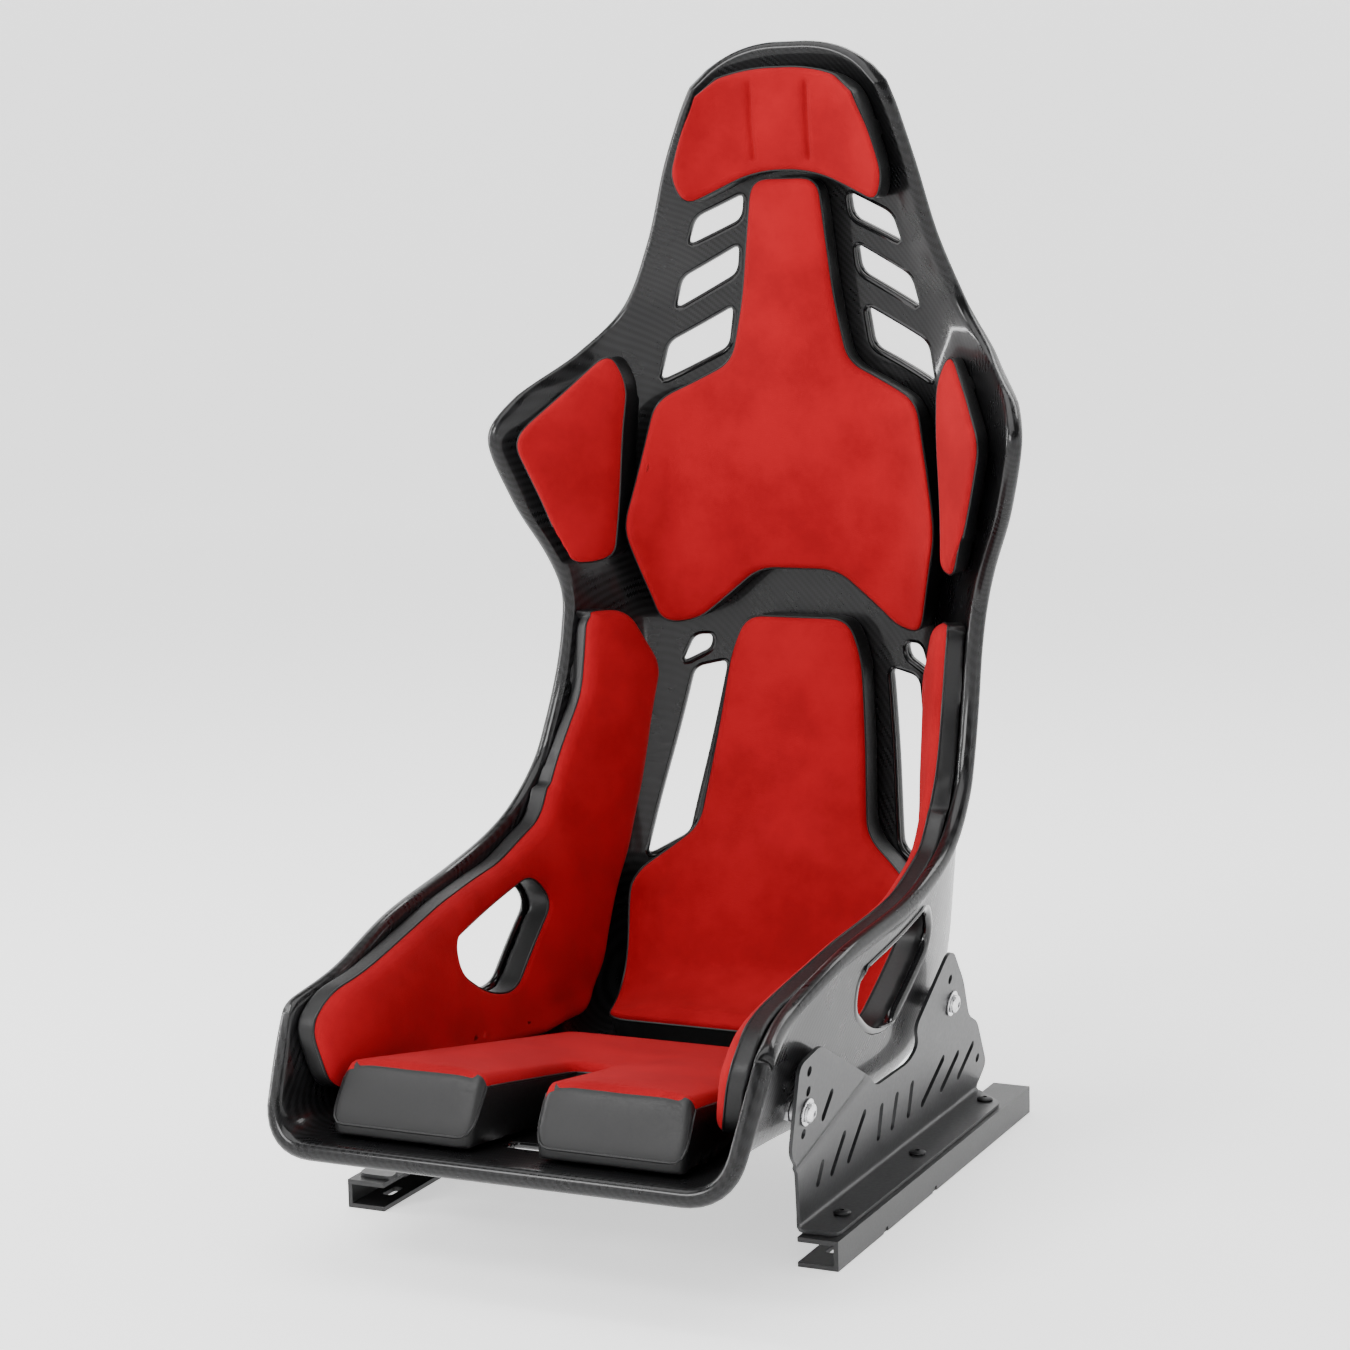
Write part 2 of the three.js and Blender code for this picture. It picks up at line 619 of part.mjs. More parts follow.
// ---------------------------------------------------------------- fasteners and both sides
function boltGeometry(radius, headRadius, headHeight, length) {
  return turned([
    [0, -length], [radius - 1, -length], [radius, 1 - length], [radius, 0], [headRadius, 0],
    [headRadius, headHeight * 0.5], [headRadius * 0.6, headHeight], [0, headHeight],
  ], 8);
}
// The six-sided bore is widened so that its flats clear the round shank.
function nutGeometry() {
  return ring((railBoltRadius + fitClearance) / Math.cos(Math.PI / 6), nutRadius, nutHeight, 6);
}

onBothSides('floor_rail', railSolid(), railFinish);
onBothSides('side_plate', plateSolid(), plateFinish);

const insideShell = sheet(() => 3 * insertOverrun, () => -insertFlush);
for (const end of Object.keys(boltSites)) {
  const reach = reachToShell(end);
  const insertLength = insertProud + shellWall + insertOverrun;
  const spacerRun = reach - plateThickness - insertProud - 2 * fitClearance;
  const headSeat = fitClearance * 2 + washerThickness;
  const pieces = [
    ['shell_insert', ring(boltRadius + fitClearance, insertRadius, insertLength),
      insertProud - reach - insertLength, spacerFinish],
    ['mount_spacer', ring(boltRadius + fitClearance, spacerRadius, spacerRun),
      -plateThickness - fitClearance - spacerRun, spacerFinish],
    ['mount_washer', ring(boltRadius + fitClearance, washerRadius, washerThickness),
      fitClearance, zincFinish],
    ['mount_bolt', boltGeometry(boltRadius, boltHeadRadius, boltHeadHeight, headSeat + reach + shellWall - 2),
      headSeat, zincFinish],
  ];
  for (const [name, geometry, standOff, material] of pieces) {
    const solid = toManifold(geometry.applyMatrix4(boltFrame(end, standOff)));
    onBothSides(`${name}_${end}`, name === 'shell_insert' ? solid.subtract(insideShell) : solid, material);
  }
}

railBoltYs.forEach((y, i) => {
  const flangeTop = railTop + plateThickness;
  const gripLength = plateThickness + railWall + nutHeight + 3 * fitClearance;
  const bolt = boltGeometry(railBoltRadius, railBoltHeadRadius, railBoltHeadHeight, gripLength)
    .translate(railBoltX, y, flangeTop + fitClearance);
  const nut = nutGeometry().translate(railBoltX, y, railHeight - railWall - fitClearance - nutHeight);
  onBothSides(`rail_bolt_${railBoltNames[i]}`, toManifold(bolt), blackSteelFinish);
  onBothSides(`rail_nut_${railBoltNames[i]}`, toManifold(nut), blackSteelFinish);
});

// The origin is on the floor, midway between the front lip and the rearmost point.
seat.updateMatrixWorld(true);
const extent = new THREE.Box3().setFromObject(seat);
seat.position.y = -(extent.min.y + extent.max.y) / 2;

export default seat;
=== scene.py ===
"""Racing bucket seat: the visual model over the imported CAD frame.

One shell surface, given by cross-sections along the pan and up the back, carries everything. The laminate is
that surface thickened, and each pad is an outline drawn in a flat plane and laid on it. Tables are in
millimetres; the objects are in metres, +Z up, with the seat facing -Y and symmetric about x = 0.
"""
import math

import bmesh
import bpy
import numpy as np
from mathutils import Matrix, Vector
from mathutils.bvhtree import BVHTree
from mathutils.geometry import delaunay_2d_cdt
from mathutils.kdtree import KDTree


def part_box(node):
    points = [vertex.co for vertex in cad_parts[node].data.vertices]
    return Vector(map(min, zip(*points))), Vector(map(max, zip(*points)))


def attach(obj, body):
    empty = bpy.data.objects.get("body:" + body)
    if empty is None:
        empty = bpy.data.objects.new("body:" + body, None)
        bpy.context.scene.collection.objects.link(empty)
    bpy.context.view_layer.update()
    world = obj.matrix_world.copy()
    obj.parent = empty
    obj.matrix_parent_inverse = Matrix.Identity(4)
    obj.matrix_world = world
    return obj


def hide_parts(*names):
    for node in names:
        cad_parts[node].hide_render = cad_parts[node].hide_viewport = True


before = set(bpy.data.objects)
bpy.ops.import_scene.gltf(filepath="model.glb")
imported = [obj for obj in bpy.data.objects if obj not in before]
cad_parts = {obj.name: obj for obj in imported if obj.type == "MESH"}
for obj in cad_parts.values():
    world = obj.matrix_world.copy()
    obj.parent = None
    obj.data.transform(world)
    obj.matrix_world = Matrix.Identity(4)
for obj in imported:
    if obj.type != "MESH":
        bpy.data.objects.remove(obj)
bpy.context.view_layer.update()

MM = 0.001
FRONT_LIP = -436.82  # y of the front lip in the tables below
SHIFT = np.array([0.0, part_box("seat_shell")[0].y / MM - FRONT_LIP, 0.0])  # from the tables to the frame

# ------------------------ sizes
SHELL_WALL = 5.0
RIM_ROLL = 7.5  # radius of the rolled rim
RIM_WIDTH = 22.0  # where the roll has faded into the plain wall
RIM_ROWS = RIM_ROLL * (1 - np.cos(np.linspace(0, np.pi / 2, 7)))  # distances from the edge round the roll
PAD_GAP = 0.7
PAD_THICKNESS, LUMBAR_THICKNESS, SIDE_THICKNESS = 30.0, 35.0, 25.0
PAD_EDGE = 8.0  # radius of a pad's rounded edge
PIPING = 1.1
PUFF = 5.0  # how far the cloth pressure may move a cover
CUSHION_BED = 3.0
LUMBAR_BEND, LUMBAR_LOW = 200.0, 60.0  # heights between which the lumbar pad turns forward on to the pan
LIP_DEPTH, LIP_WIDTH = 5.0, 2.8  # half-axes of the rolled lip round each opening
PLATE_THICKNESS = 3.0
PLATE_LEAN = math.radians(8.5)
BEND_X = 179.12  # where the plate's outer face meets the rail
RAIL_TOP = 24.3
RAIL_X = (184.12, 218.12)
RAIL_Y = (-280.0, 170.0)
RAIL_HEIGHT, RAIL_WALL = 24.0, 4.0
RAIL_BOLT_Y = (-225.0, -60.0, 105.0)
RAIL_BOLT_X = 199.12
FRONT_BOLT = (-281.0, 125.0)
REAR_BOLT = (34.0, 132.0)
WASHER = 1.6
SEAT_GAP = 0.3  # between faces that rest on each other
SIDES = ((1, "right"), (-1, "left"))
VENT_ROUND, BELT_ROUND, STRAP_ROUND = 9, 22, 11  # roundings of the openings' corners
HEAD_ROUND, PAD_ROUND, CUSHION_ROUND = 28, 16, 12  # roundings of the pads' corners

# One row for each station, from the front lip to the top of the head: centre y, centre z, rim x, rim y,
# rim z, half-width of the flat middle, length of the corner curve.
STATIONS = np.array([
    [-436, 106, 200, -387, 195, 188, 26],
    [-400, 104, 197, -372, 204, 182, 36],
    [-320, 96, 189, -316, 217, 176, 50],
    [-220, 84, 195, -222, 240, 172, 60],
    [-110, 72, 202, -110, 254, 168, 60],
    [-10, 66, 201, -40, 269, 166, 65],
    [62, 74, 199, 6, 288, 161, 70],
    [115, 110, 196, 43, 318, 154, 70],
    [143, 170, 194, 62, 349, 147, 70],
    [163, 250, 192, 80, 390, 139, 70],
    [185, 330, 191, 93, 433, 134, 65],
    [200, 410, 194, 99, 466, 130, 60],
    [204, 480, 206, 90, 501, 125, 60],
    [201, 545, 228, 70, 549, 125, 60],
    [197, 600, 243, 55, 606, 125, 60],
    [194, 640, 232, 84, 642, 125, 60],
    [192, 680, 195, 140, 680, 120, 50],
    [191, 720, 162, 165, 718, 100, 50],
    [189, 775, 136, 164, 773, 85, 50],
    [187, 840, 116, 160, 838, 70, 50],
    [182, 905, 101, 160, 880, 55, 45],
    [172, 946, 88, 160, 908, 50, 40],
], float)
LAST = len(STATIONS) - 1

# Outlines of the right half, (x, z) seen from the front or (y, z) seen from the side.
VENTS = {
    "harness_top": [[50, 818], [96, 797], [105, 770], [53, 794]],
    "harness_middle": [[56, 773], [112, 743], [120, 713], [59, 746]],
    "harness_low": [[64, 718], [127, 685], [135, 648], [70, 680]],
    "lumbar": [[80, 393], [112, 386], [142, 214], [104, 236]],
    "upper": [[95, 416], [113, 416], [124, 388], [97, 402]],
}
BELT_OPENING = [[-176, 206], [-30, 232], [-4, 202], [-90, 141], [-135, 150], [-174, 176]]
STRAP_SLOT = [[-22, -376], [22, -376], [22, -354], [-22, -354]]  # (x, y) seen from above
HEAD_PAD = [[30, 925], [78, 910], [101, 832], [92, 806], [28, 836]]
SHOULDER_PAD = [[32, 829], [44, 725], [56, 668], [126, 634], [150, 520], [126, 430], [98, 432], [38, 481]]
LUMBAR_PAD = [[50, 438], [64, 404], [82, 250], [136, 208], [134, 170], [118, 62]]
WING_PAD = [[163, 680], [148, 650], [157, 492], [184, 490], [220, 606]]
BOLSTER_PAD = [
    [90, 448], [134, 446], [158, 394], [111, 228], [62, 132], [16, 99], [-60, 98], [-220, 114], [-380, 132],
    [-390, 184], [-360, 206], [-179, 237], [-68, 249], [6, 274], [74, 376],
]
CUSHION_PLAN = [
    [27, -411], [152, -411], [126, -58], [-126, -58], [-152, -411], [-27, -411], [-15, -258], [15, -258],
]
CUSHION_SIDE = np.array([[-411.0, 118.0], [-385.0, 161.0], [-58.0, 102.0]])  # y, z of the top


# ------------------------ shell surface
def station_rows(k):
    """Rows at fractional k: a Catmull-Rom curve 0.5 (2b + (c-a)f + (2a-5b+4c-d)f^2 + (3b-a-3c+d)f^3)."""
    k = np.clip(np.asarray(k, float), 0, LAST)
    i = np.minimum(k.astype(int), LAST - 1)
    f = (k - i)[..., None]
    a, b, c, d = (STATIONS[np.clip(i + step, 0, LAST)] for step in (-1, 0, 1, 2))
    return 0.5 * (2 * b + (c - a) * f + (2 * a - 5 * b + 4 * c - d) * f**2 + (3 * b - a - 3 * c + d) * f**3)


def section(k):
    """Parts of half a cross-section: flat middle, corner curve, straight wing, and their total length."""
    cy, cz, rx, ry, rz, flat, corner = np.moveaxis(station_rows(k), -1, 0)
    rise = np.hypot(ry - cy, rz - cz)
    wing = np.hypot(rx - flat, rise)
    corner_in = np.minimum(corner, 0.9 * flat)
    corner_out = np.minimum(corner, 0.6 * wing)
    lean, lift = (rx - flat) / wing, rise / wing
    middle = flat - corner_in
    curve = (2 * np.hypot(corner_in + lean * corner_out, lift * corner_out) + corner_in + corner_out) / 3
    girth = middle + curve + wing - corner_out
    up = np.stack([(ry - cy) / rise, (rz - cz) / rise], -1)
    return cy, cz, up, flat, corner_out, lean, lift, middle, curve, girth


def surface(k, t):
    """Inner face of the shell at station k and t from -1 (left rim) to 1 (right rim).

    The run q = |t| girth goes along the flat middle, then x = (1-u)^2 m + 2u(1-u) f + u^2 (f + lean c),
    w = u^2 lift c round the corner, then straight along the wing.
    """
    k, t = np.broadcast_arrays(np.asarray(k, float), np.asarray(t, float))
    cy, cz, up, flat, corner_out, lean, lift, middle, curve, girth = section(k)
    run = np.abs(t) * girth
    u = np.clip((run - middle) / curve, 0, 1)
    x_corner = (1 - u) ** 2 * middle + 2 * u * (1 - u) * flat + u * u * (flat + lean * corner_out)
    past = np.maximum(run - middle - curve, 0)
    x = np.where(run < middle, run, x_corner) + lean * past
    w = u * u * lift * corner_out + lift * past
    return np.stack([np.sign(t) * x, cy + up[..., 0] * w, cz + up[..., 1] * w], -1)


def surface_normal(k, t, step=2e-3):
    """Unit normal towards the driver: dS/dt x dS/dk."""
    along = surface(np.minimum(k + step, LAST), t) - surface(np.maximum(k - step, 0), t)
    across = surface(k, np.minimum(t + step, 1)) - surface(k, np.maximum(t - step, -1))
    n = np.cross(across, along)
    return n / np.linalg.norm(n, axis=-1, keepdims=True)


def offset_surface(k, t, distance):
    return surface(k, t) + surface_normal(k, t) * np.asarray(distance)[..., None]


# ------------------------ mesh helpers
def link(name, data):
    made = bpy.data.objects.new(name, data)
    bpy.context.scene.collection.objects.link(made)
    return made


def add_object(name, points, faces, materials, face_material=None, sharp=35):
    """Mesh object from table millimetres, welded, with its faces pointing out and its sharp edges marked."""
    mesh = bpy.data.meshes.new(name)
    mesh.from_pydata(((np.asarray(points) + SHIFT) * MM).tolist(), [], [list(map(int, f)) for f in faces])
    for material in materials:
        mesh.materials.append(material)
    if face_material is not None:
        mesh.polygons.foreach_set("material_index", np.asarray(face_material, np.int32))
    work = bmesh.new()
    work.from_mesh(mesh)
    bmesh.ops.remove_doubles(work, verts=work.verts, dist=1e-5)
    bmesh.ops.recalc_face_normals(work, faces=work.faces)
    work.to_mesh(mesh)
    work.free()
    mesh.shade_smooth()
    mesh.set_sharp_from_angle(angle=math.radians(sharp))
    return link(name, mesh)


def grid_faces(rows, columns, start=0, closed=False):
    """Quads of a rows by columns grid of points; closed joins the last column to the first."""
    i, j = np.meshgrid(np.arange(rows - 1), np.arange(columns if closed else columns - 1), indexing="ij")
    following = (j + 1) % columns
    quads = [i * columns + j, i * columns + following, (i + 1) * columns + following, (i + 1) * columns + j]
    return start + np.stack(quads, -1).reshape(-1, 4)


def resample(loop, spacing):
    """Closed polyline with points at an even spacing."""
    closed = np.vstack([loop, loop[:1]])
    length = np.r_[0, np.cumsum(np.linalg.norm(np.diff(closed, axis=0), axis=1))]
    count = max(int(round(length[-1] / spacing)), 8)
    at = np.arange(count) * length[-1] / count
    return np.stack([np.interp(at, length, closed[:, n]) for n in range(closed.shape[1])], -1)


def rounded(corners, radius, spacing=5.0):
    """Anticlockwise outline with a curve (1-u)^2 enter + 2u(1-u) corner + u^2 leave at each corner."""
    p = np.asarray(corners, float)
    before, after = np.roll(p, 1, 0) - p, np.roll(p, -1, 0) - p
    far_before, far_after = (np.linalg.norm(v, axis=1, keepdims=True) for v in (before, after))
    reach = np.minimum(radius, 0.45 * np.minimum(far_before, far_after))
    enter, leave = p + before / far_before * reach, p + after / far_after * reach
    u = np.linspace(0, 1, 9)[None, :, None]
    loop = (1 - u) ** 2 * enter[:, None] + 2 * u * (1 - u) * p[:, None] + u * u * leave[:, None]
    loop = resample(loop.reshape(-1, 2), spacing)
    area = np.sum(loop[:, 0] * np.roll(loop[:, 1], -1) - loop[:, 1] * np.roll(loop[:, 0], -1))
    return loop if area > 0 else loop[::-1]


def both_halves(right):
    """A right half's points and their mirror images, as one outline."""
    return list(right) + [[-x, z] for x, z in reversed(right)]


def leftward(loop):
    """Unit normals to the left of a closed loop, which is into the solid."""
    tangent = np.roll(loop, -1, 0) - np.roll(loop, 1, 0)
    tangent /= np.linalg.norm(tangent, axis=1, keepdims=True)
    return np.stack([-tangent[:, 1], tangent[:, 0]], -1)


def distance_to_path(points, line):
    """Distance from each 2-D point to an open polyline."""
    line = np.asarray(line, float)
    a, ab = line[:-1], np.diff(line, axis=0)
    ap = points[:, None] - a[None]
    s = np.clip((ap * ab).sum(-1) / (ab * ab).sum(-1), 0, 1)
    return np.linalg.norm(ap - s[..., None] * ab, axis=-1).min(1)


def distance_to(points, loops):
    """Distance from each 2-D point to the nearest of the closed loops."""
    return np.min([distance_to_path(points, np.vstack([loop, loop[:1]])) for loop in loops], axis=0)


def inside(points, loops):
    """Even-odd test of 2-D points against closed loops."""
    crossings = np.zeros(len(points), int)
    for loop in loops:
        a, b = loop, np.roll(loop, -1, 0)
        x, y = points[:, :1], points[:, 1:]
        spans = (a[:, 1] > y) != (b[:, 1] > y)
        rise = np.where(b[:, 1] == a[:, 1], 1e-9, b[:, 1] - a[:, 1])
        crossings += (spans & (x < (b[:, 0] - a[:, 0]) * (y - a[:, 1]) / rise + a[:, 0])).sum(1)
    return crossings % 2 == 1


def fill(loops, spacing, creases=()):
    """Triangles over the region between the loops, with points on a staggered grid and beside each crease."""
    low, high = loops[0].min(0), loops[0].max(0)
    xs = np.arange(low[0], high[0], spacing)
    ys = np.arange(low[1], high[1], spacing * 0.866)
    gx, gy = np.meshgrid(xs, ys)
    gx = gx + (np.arange(len(ys)) % 2 * spacing / 2)[:, None]
    dots = np.stack([gx.ravel(), gy.ravel()], -1)
    beside = []
    for line in creases:
        line = np.asarray(line, float)
        dots = dots[distance_to(dots, [line]) > 8]
        length = np.r_[0, np.cumsum(np.linalg.norm(np.diff(line, axis=0), axis=1))]
        at = np.linspace(0, length[-1], int(length[-1] / 4) + 2)
        path = np.stack([np.interp(at, length, line[:, n]) for n in (0, 1)], -1)
        aside = np.gradient(path, axis=0)
        aside = np.stack([-aside[:, 1], aside[:, 0]], -1) / np.linalg.norm(aside, axis=1, keepdims=True)
        beside += [path + aside * step for step in (-6, -3, -1.2, 0, 1.2, 3, 6)]
    dots = np.vstack([dots, *beside])
    dots = dots[inside(dots, loops)]
    dots = dots[distance_to(dots, loops) > 0.45 * spacing]
    edges, start = [], 0
    for loop in loops:
        edges += [(start + i, start + (i + 1) % len(loop)) for i in range(len(loop))]
        start += len(loop)
    points = np.vstack([*loops, dots])
    made = delaunay_2d_cdt([Vector(p) for p in points], edges, [], 0, 1e-6)
    points = np.array([tuple(v) for v in made[0]])
    triangles = np.array([f for f in made[2] if len(f) == 3])
    return points, triangles[inside(points[triangles].mean(1), loops)]


trees = {}


def hit(distance, origins, directions, reach):
    """Where each ray first meets the shell's inner face moved in by a distance.

    A ray that misses takes the point nearest to its place `reach` along.
    """
    if distance not in trees:
        k, t = np.meshgrid(np.linspace(0, LAST, 300), np.linspace(-1, 1, 161), indexing="ij")
        points = offset_surface(k, t, np.full(k.shape, distance)).reshape(-1, 3)
        trees[distance] = BVHTree.FromPolygons(points.tolist(), grid_faces(300, 161).tolist())
    tree, found = trees[distance], []
    for origin, direction in zip(origins, np.broadcast_to(directions, origins.shape)):
        start, way = Vector(origin), Vector(direction)
        found.append(tree.ray_cast(start, way)[0] or tree.find_nearest(start + reach * way)[0])
    return np.array([tuple(p) for p in found])


def lay(points, view, distance):
    """3-D places on the shell of 2-D points, along straight rays.

    From the front the points are (x, z), from inside a side (y, z) and from the top (x, y). For the lumbar
    pad they are (x, z), and below LUMBAR_BEND the rays turn down by 70 degrees (bend - z) / (bend - low), so
    that the pad follows the shell on to the pan.
    """
    first, second = points[:, 0], points[:, 1]
    level = np.zeros(len(points))
    if view == "front":
        return hit(distance, np.stack([first, level, second], -1), (0, 1, 0), 80)
    if view == "lumbar":
        low = np.maximum(LUMBAR_BEND - second, 0) / (LUMBAR_BEND - LUMBAR_LOW)
        turn = np.radians(70) * low
        origins = np.stack([first, level - 5, second + 65 * low], -1)
        return hit(distance, origins, np.stack([level, np.cos(turn), -np.sin(turn)], -1), 80)
    if view == "top":
        return hit(distance, np.stack([first, second, level + 240], -1), (0, 0, -1), 160)
    return hit(distance, np.stack([level, first, second], -1), (1, 0, 0), 160)


def tube(path, radius, segments, depth=None):
    """Ellipse carried round a closed path: p = c + radius cos(a) n + depth sin(a) s.

    n is the path's direction crossed with a fixed one, and s is n crossed with the path's direction.
    """
    depth = radius if depth is None else depth
    tangent = np.roll(path, -1, 0) - np.roll(path, 1, 0)
    tangent /= np.linalg.norm(tangent, axis=1, keepdims=True)
    n = np.cross(tangent, [0.3, 0.9, 0.3])
    n /= np.linalg.norm(n, axis=1, keepdims=True)
    s = np.cross(n, tangent)
    a = np.linspace(0, 2 * np.pi, segments, endpoint=False)[None, :, None]
    rings = path[:, None] + radius * np.cos(a) * n[:, None] + depth * np.sin(a) * s[:, None]
    faces = grid_faces(len(path) + 1, segments, closed=True) % (len(path) * segments)
    return rings.reshape(-1, 3), faces


def prism(loop, axis, low, high):
    """Closed straight prism of a loop. Along 'x' the loop is (y, z), along 'y' (x, z), along 'z' (x, y)."""
    loop = np.asarray(loop, float)
    slot = "xyz".index(axis)
    count = len(loop)
    ends = [np.insert(loop, slot, level, axis=1) for level in (low, high)]
    sides = [[i, (i + 1) % count, count + (i + 1) % count, count + i] for i in range(count)]
    return np.vstack(ends), [list(range(count)), list(range(count, 2 * count)), *sides]


def gather(parts):
    """Several (points, faces) sets as one."""
    points, faces, start = [], [], 0
    for part_points, part_faces in parts:
        points.append(part_points)
        faces += [[start + int(i) for i in face] for face in part_faces]
        start += len(part_points)
    return np.vstack(points), faces


def apply_modifiers(made):
    """Bakes the modifiers into the mesh."""
    graph = bpy.context.evaluated_depsgraph_get()
    graph.update()
    mesh = bpy.data.meshes.new_from_object(made.evaluated_get(graph))
    made.modifiers.clear()
    made.data = mesh
    return made


def cut(made, points, faces, sharp):
    """Cuts closed solids out of a piece, and marks its sharp edges again."""
    cutter = add_object("cutter", points, faces, [])
    change = made.modifiers.new("openings", "BOOLEAN")
    change.object = cutter
    change.operation = "DIFFERENCE"
    change.solver = "EXACT"
    apply_modifiers(made)
    bpy.data.objects.remove(cutter)
    made.data.shade_smooth()
    made.data.set_sharp_from_angle(angle=math.radians(sharp))


def bevel(made, width, segments=2):
    change = made.modifiers.new("edges", "BEVEL")
    change.width = width * MM
    change.segments = segments
    change.limit_method = "ANGLE"
    change.angle_limit = math.radians(40)
    return made


def ship(made, slot, *nodes):
    """The piece rides the fixed body and stands for the CAD nodes, which it hides; the slot is not used."""
    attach(made, "root")
    if nodes:
        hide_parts(*nodes)
    return made


# ------------------------ materials
class Value:
    """A number on its way through a node tree; each operator adds one Math node, also as in 1 - value."""

    def __init__(self, tree, socket):
        self.tree, self.socket = tree, socket

    def math(self, operation, other=None, reflected=False):
        first, second = (other, self) if reflected else (self, other)
        return node(self.tree, "Math", {0: first, 1: second}, operation=operation)

    def __add__(self, other):
        return self.math("ADD", other)

    def __sub__(self, other):
        return self.math("SUBTRACT", other)

    def __mul__(self, other):
        return self.math("MULTIPLY", other)

    def __truediv__(self, other):
        return self.math("DIVIDE", other)

    def __mod__(self, other):
        return self.math("FLOORED_MODULO", other)

    def __rsub__(self, other):
        return self.math("SUBTRACT", other, reflected=True)

    def __rtruediv__(self, other):
        return self.math("DIVIDE", other, reflected=True)

    def __rmod__(self, other):
        return self.math("FLOORED_MODULO", other, reflected=True)

    __radd__ = __add__
    __rmul__ = __mul__

    def floor(self):
        return self.math("FLOOR")

    def below(self, other):
        return self.math("LESS_THAN", other)

    def smooth(self, low, high):
        return node(self.tree, "MapRange", {0: self, 1: low, 2: high}, interpolation_type="SMOOTHSTEP")


def node(tree, kind, inputs, output=0, **settings):
    """Adds a shader node, feeds its inputs with numbers, colours or Values, and gives one output."""
    made = tree.nodes.new("ShaderNode" + kind)
    for key, value in settings.items():
        setattr(made, key, value)
    for key, value in inputs.items():
        if isinstance(value, Value):
            tree.links.new(value.socket, made.inputs[key])
        elif value is not None:
            made.inputs[key].default_value = value
    return Value(tree, made.outputs[output])


def blend(tree, factor, a, b):
    return node(tree, "Mix", {0: factor, 6: (*a, 1), 7: (*b, 1)}, output=2, data_type="RGBA")


def noise(tree, place, scale, detail=3.0, rough=0.5):
    return node(tree, "TexNoise", {"Vector": place, "Scale": scale, "Detail": detail, "Roughness": rough})


def bump(tree, height, distance, strength):
    return node(tree, "Bump", {"Height": height, "Distance": distance, "Strength": strength})


def new_material(name):
    """Material with its tree, its Object coordinates and its Principled shader."""
    material = bpy.data.materials.new(name)
    material.use_nodes = True
    tree = material.node_tree
    place = node(tree, "TexCoord", {}, output=3)
    return material, tree, place, tree.nodes["Principled BSDF"]


def set_shader(tree, shader, **values):
    for name, value in values.items():
        socket = shader.inputs[name.replace("_", " ")]
        if isinstance(value, Value):
            tree.links.new(value.socket, socket)
        else:
            socket.default_value = value


def make_laminate():
    """Clear-coated carbon: 2 by 2 twill, a tow over for two and under for two, stepping one each row. The
    weave is the laminate's own; its over tows are painted lighter as a painted reflection.
    """
    material, tree, place, shader = new_material("carbon_laminate")
    tow = 0.0017
    across = node(tree, "SeparateXYZ", {0: place}, output=0) / tow
    height = node(tree, "SeparateXYZ", {0: place}, output=2)
    depth = node(tree, "SeparateXYZ", {0: place}, output=1)
    along = (height - depth) / tow
    over = ((across.floor() + along.floor()) % 4.0).below(1.5)
    cloud = noise(tree, place, 9.0)
    set_shader(
        tree, shader,
        # Base colour: the over tows are painted lighter than the under tows, a painted reflection that stands
        # in for the sheen of real twill; the cloud varies it at random.
        Base_Color=blend(tree, over * (cloud * 0.8 + 0.4), (0.003, 0.003, 0.0032), (0.009, 0.009, 0.0097)),
        Roughness=over * 0.10 + 0.24 + noise(tree, place, 40.0) * 0.08,
        Metallic=0.0, Coat_Weight=0.35, Coat_Roughness=0.08, Specular_IOR_Level=0.15,
        Normal=bump(tree, over, 0.0001, 0.15),
    )
    return material


def make_gloss():
    """Black gel coat on the rolled edges, with faint orange peel."""
    material, tree, place, shader = new_material("gloss_edge")
    cloud = noise(tree, place, 30.0)
    set_shader(
        tree, shader,
        Base_Color=blend(tree, cloud, (0.002, 0.002, 0.0022), (0.005, 0.005, 0.0055)),
        Roughness=cloud * 0.08 + 0.14,
        Coat_Weight=0.5, Coat_Roughness=0.04, Specular_IOR_Level=0.2,
        Normal=bump(tree, noise(tree, place, 120.0, 1.0), 0.0001, 0.1),
    )
    return material


def make_suede():
    """Red microsuede: brushed patches of nap over a fine fibre bump."""
    material, tree, place, shader = new_material("red_suede")
    patches = noise(tree, place, 14.0, 5.0, 0.62).smooth(0.32, 0.68)
    fibre = noise(tree, place, 1900.0, 2.0)
    set_shader(
        tree, shader,
        Base_Color=blend(tree, patches * 0.6 + fibre * 0.4, (0.21, 0.002, 0.005), (0.33, 0.005, 0.010)),
        Roughness=patches * 0.06 + 0.88,
        Normal=bump(tree, fibre + noise(tree, place, 260.0) * 0.6, 0.0006, 0.45),
        Sheen_Weight=0.12, Sheen_Roughness=0.5, Sheen_Tint=(1.0, 0.1, 0.1, 1.0), Specular_IOR_Level=0.1,
    )
    return material


def make_leather():
    """Black leatherette: a pebbled grain from cell distance, shinier on the pebbles than between them."""
    material, tree, place, shader = new_material("black_leatherette")
    pebble = node(tree, "TexVoronoi", {"Vector": place, "Scale": 520.0}, feature="SMOOTH_F1")
    wear = noise(tree, place, 22.0)
    set_shader(
        tree, shader,
        Base_Color=blend(tree, wear, (0.002, 0.002, 0.0022), (0.005, 0.005, 0.0054)),
        Roughness=pebble * 0.14 + wear * 0.08 + 0.36,
        Normal=bump(tree, pebble, 0.0007, -0.4),
        Specular_IOR_Level=0.35,
    )
    return material


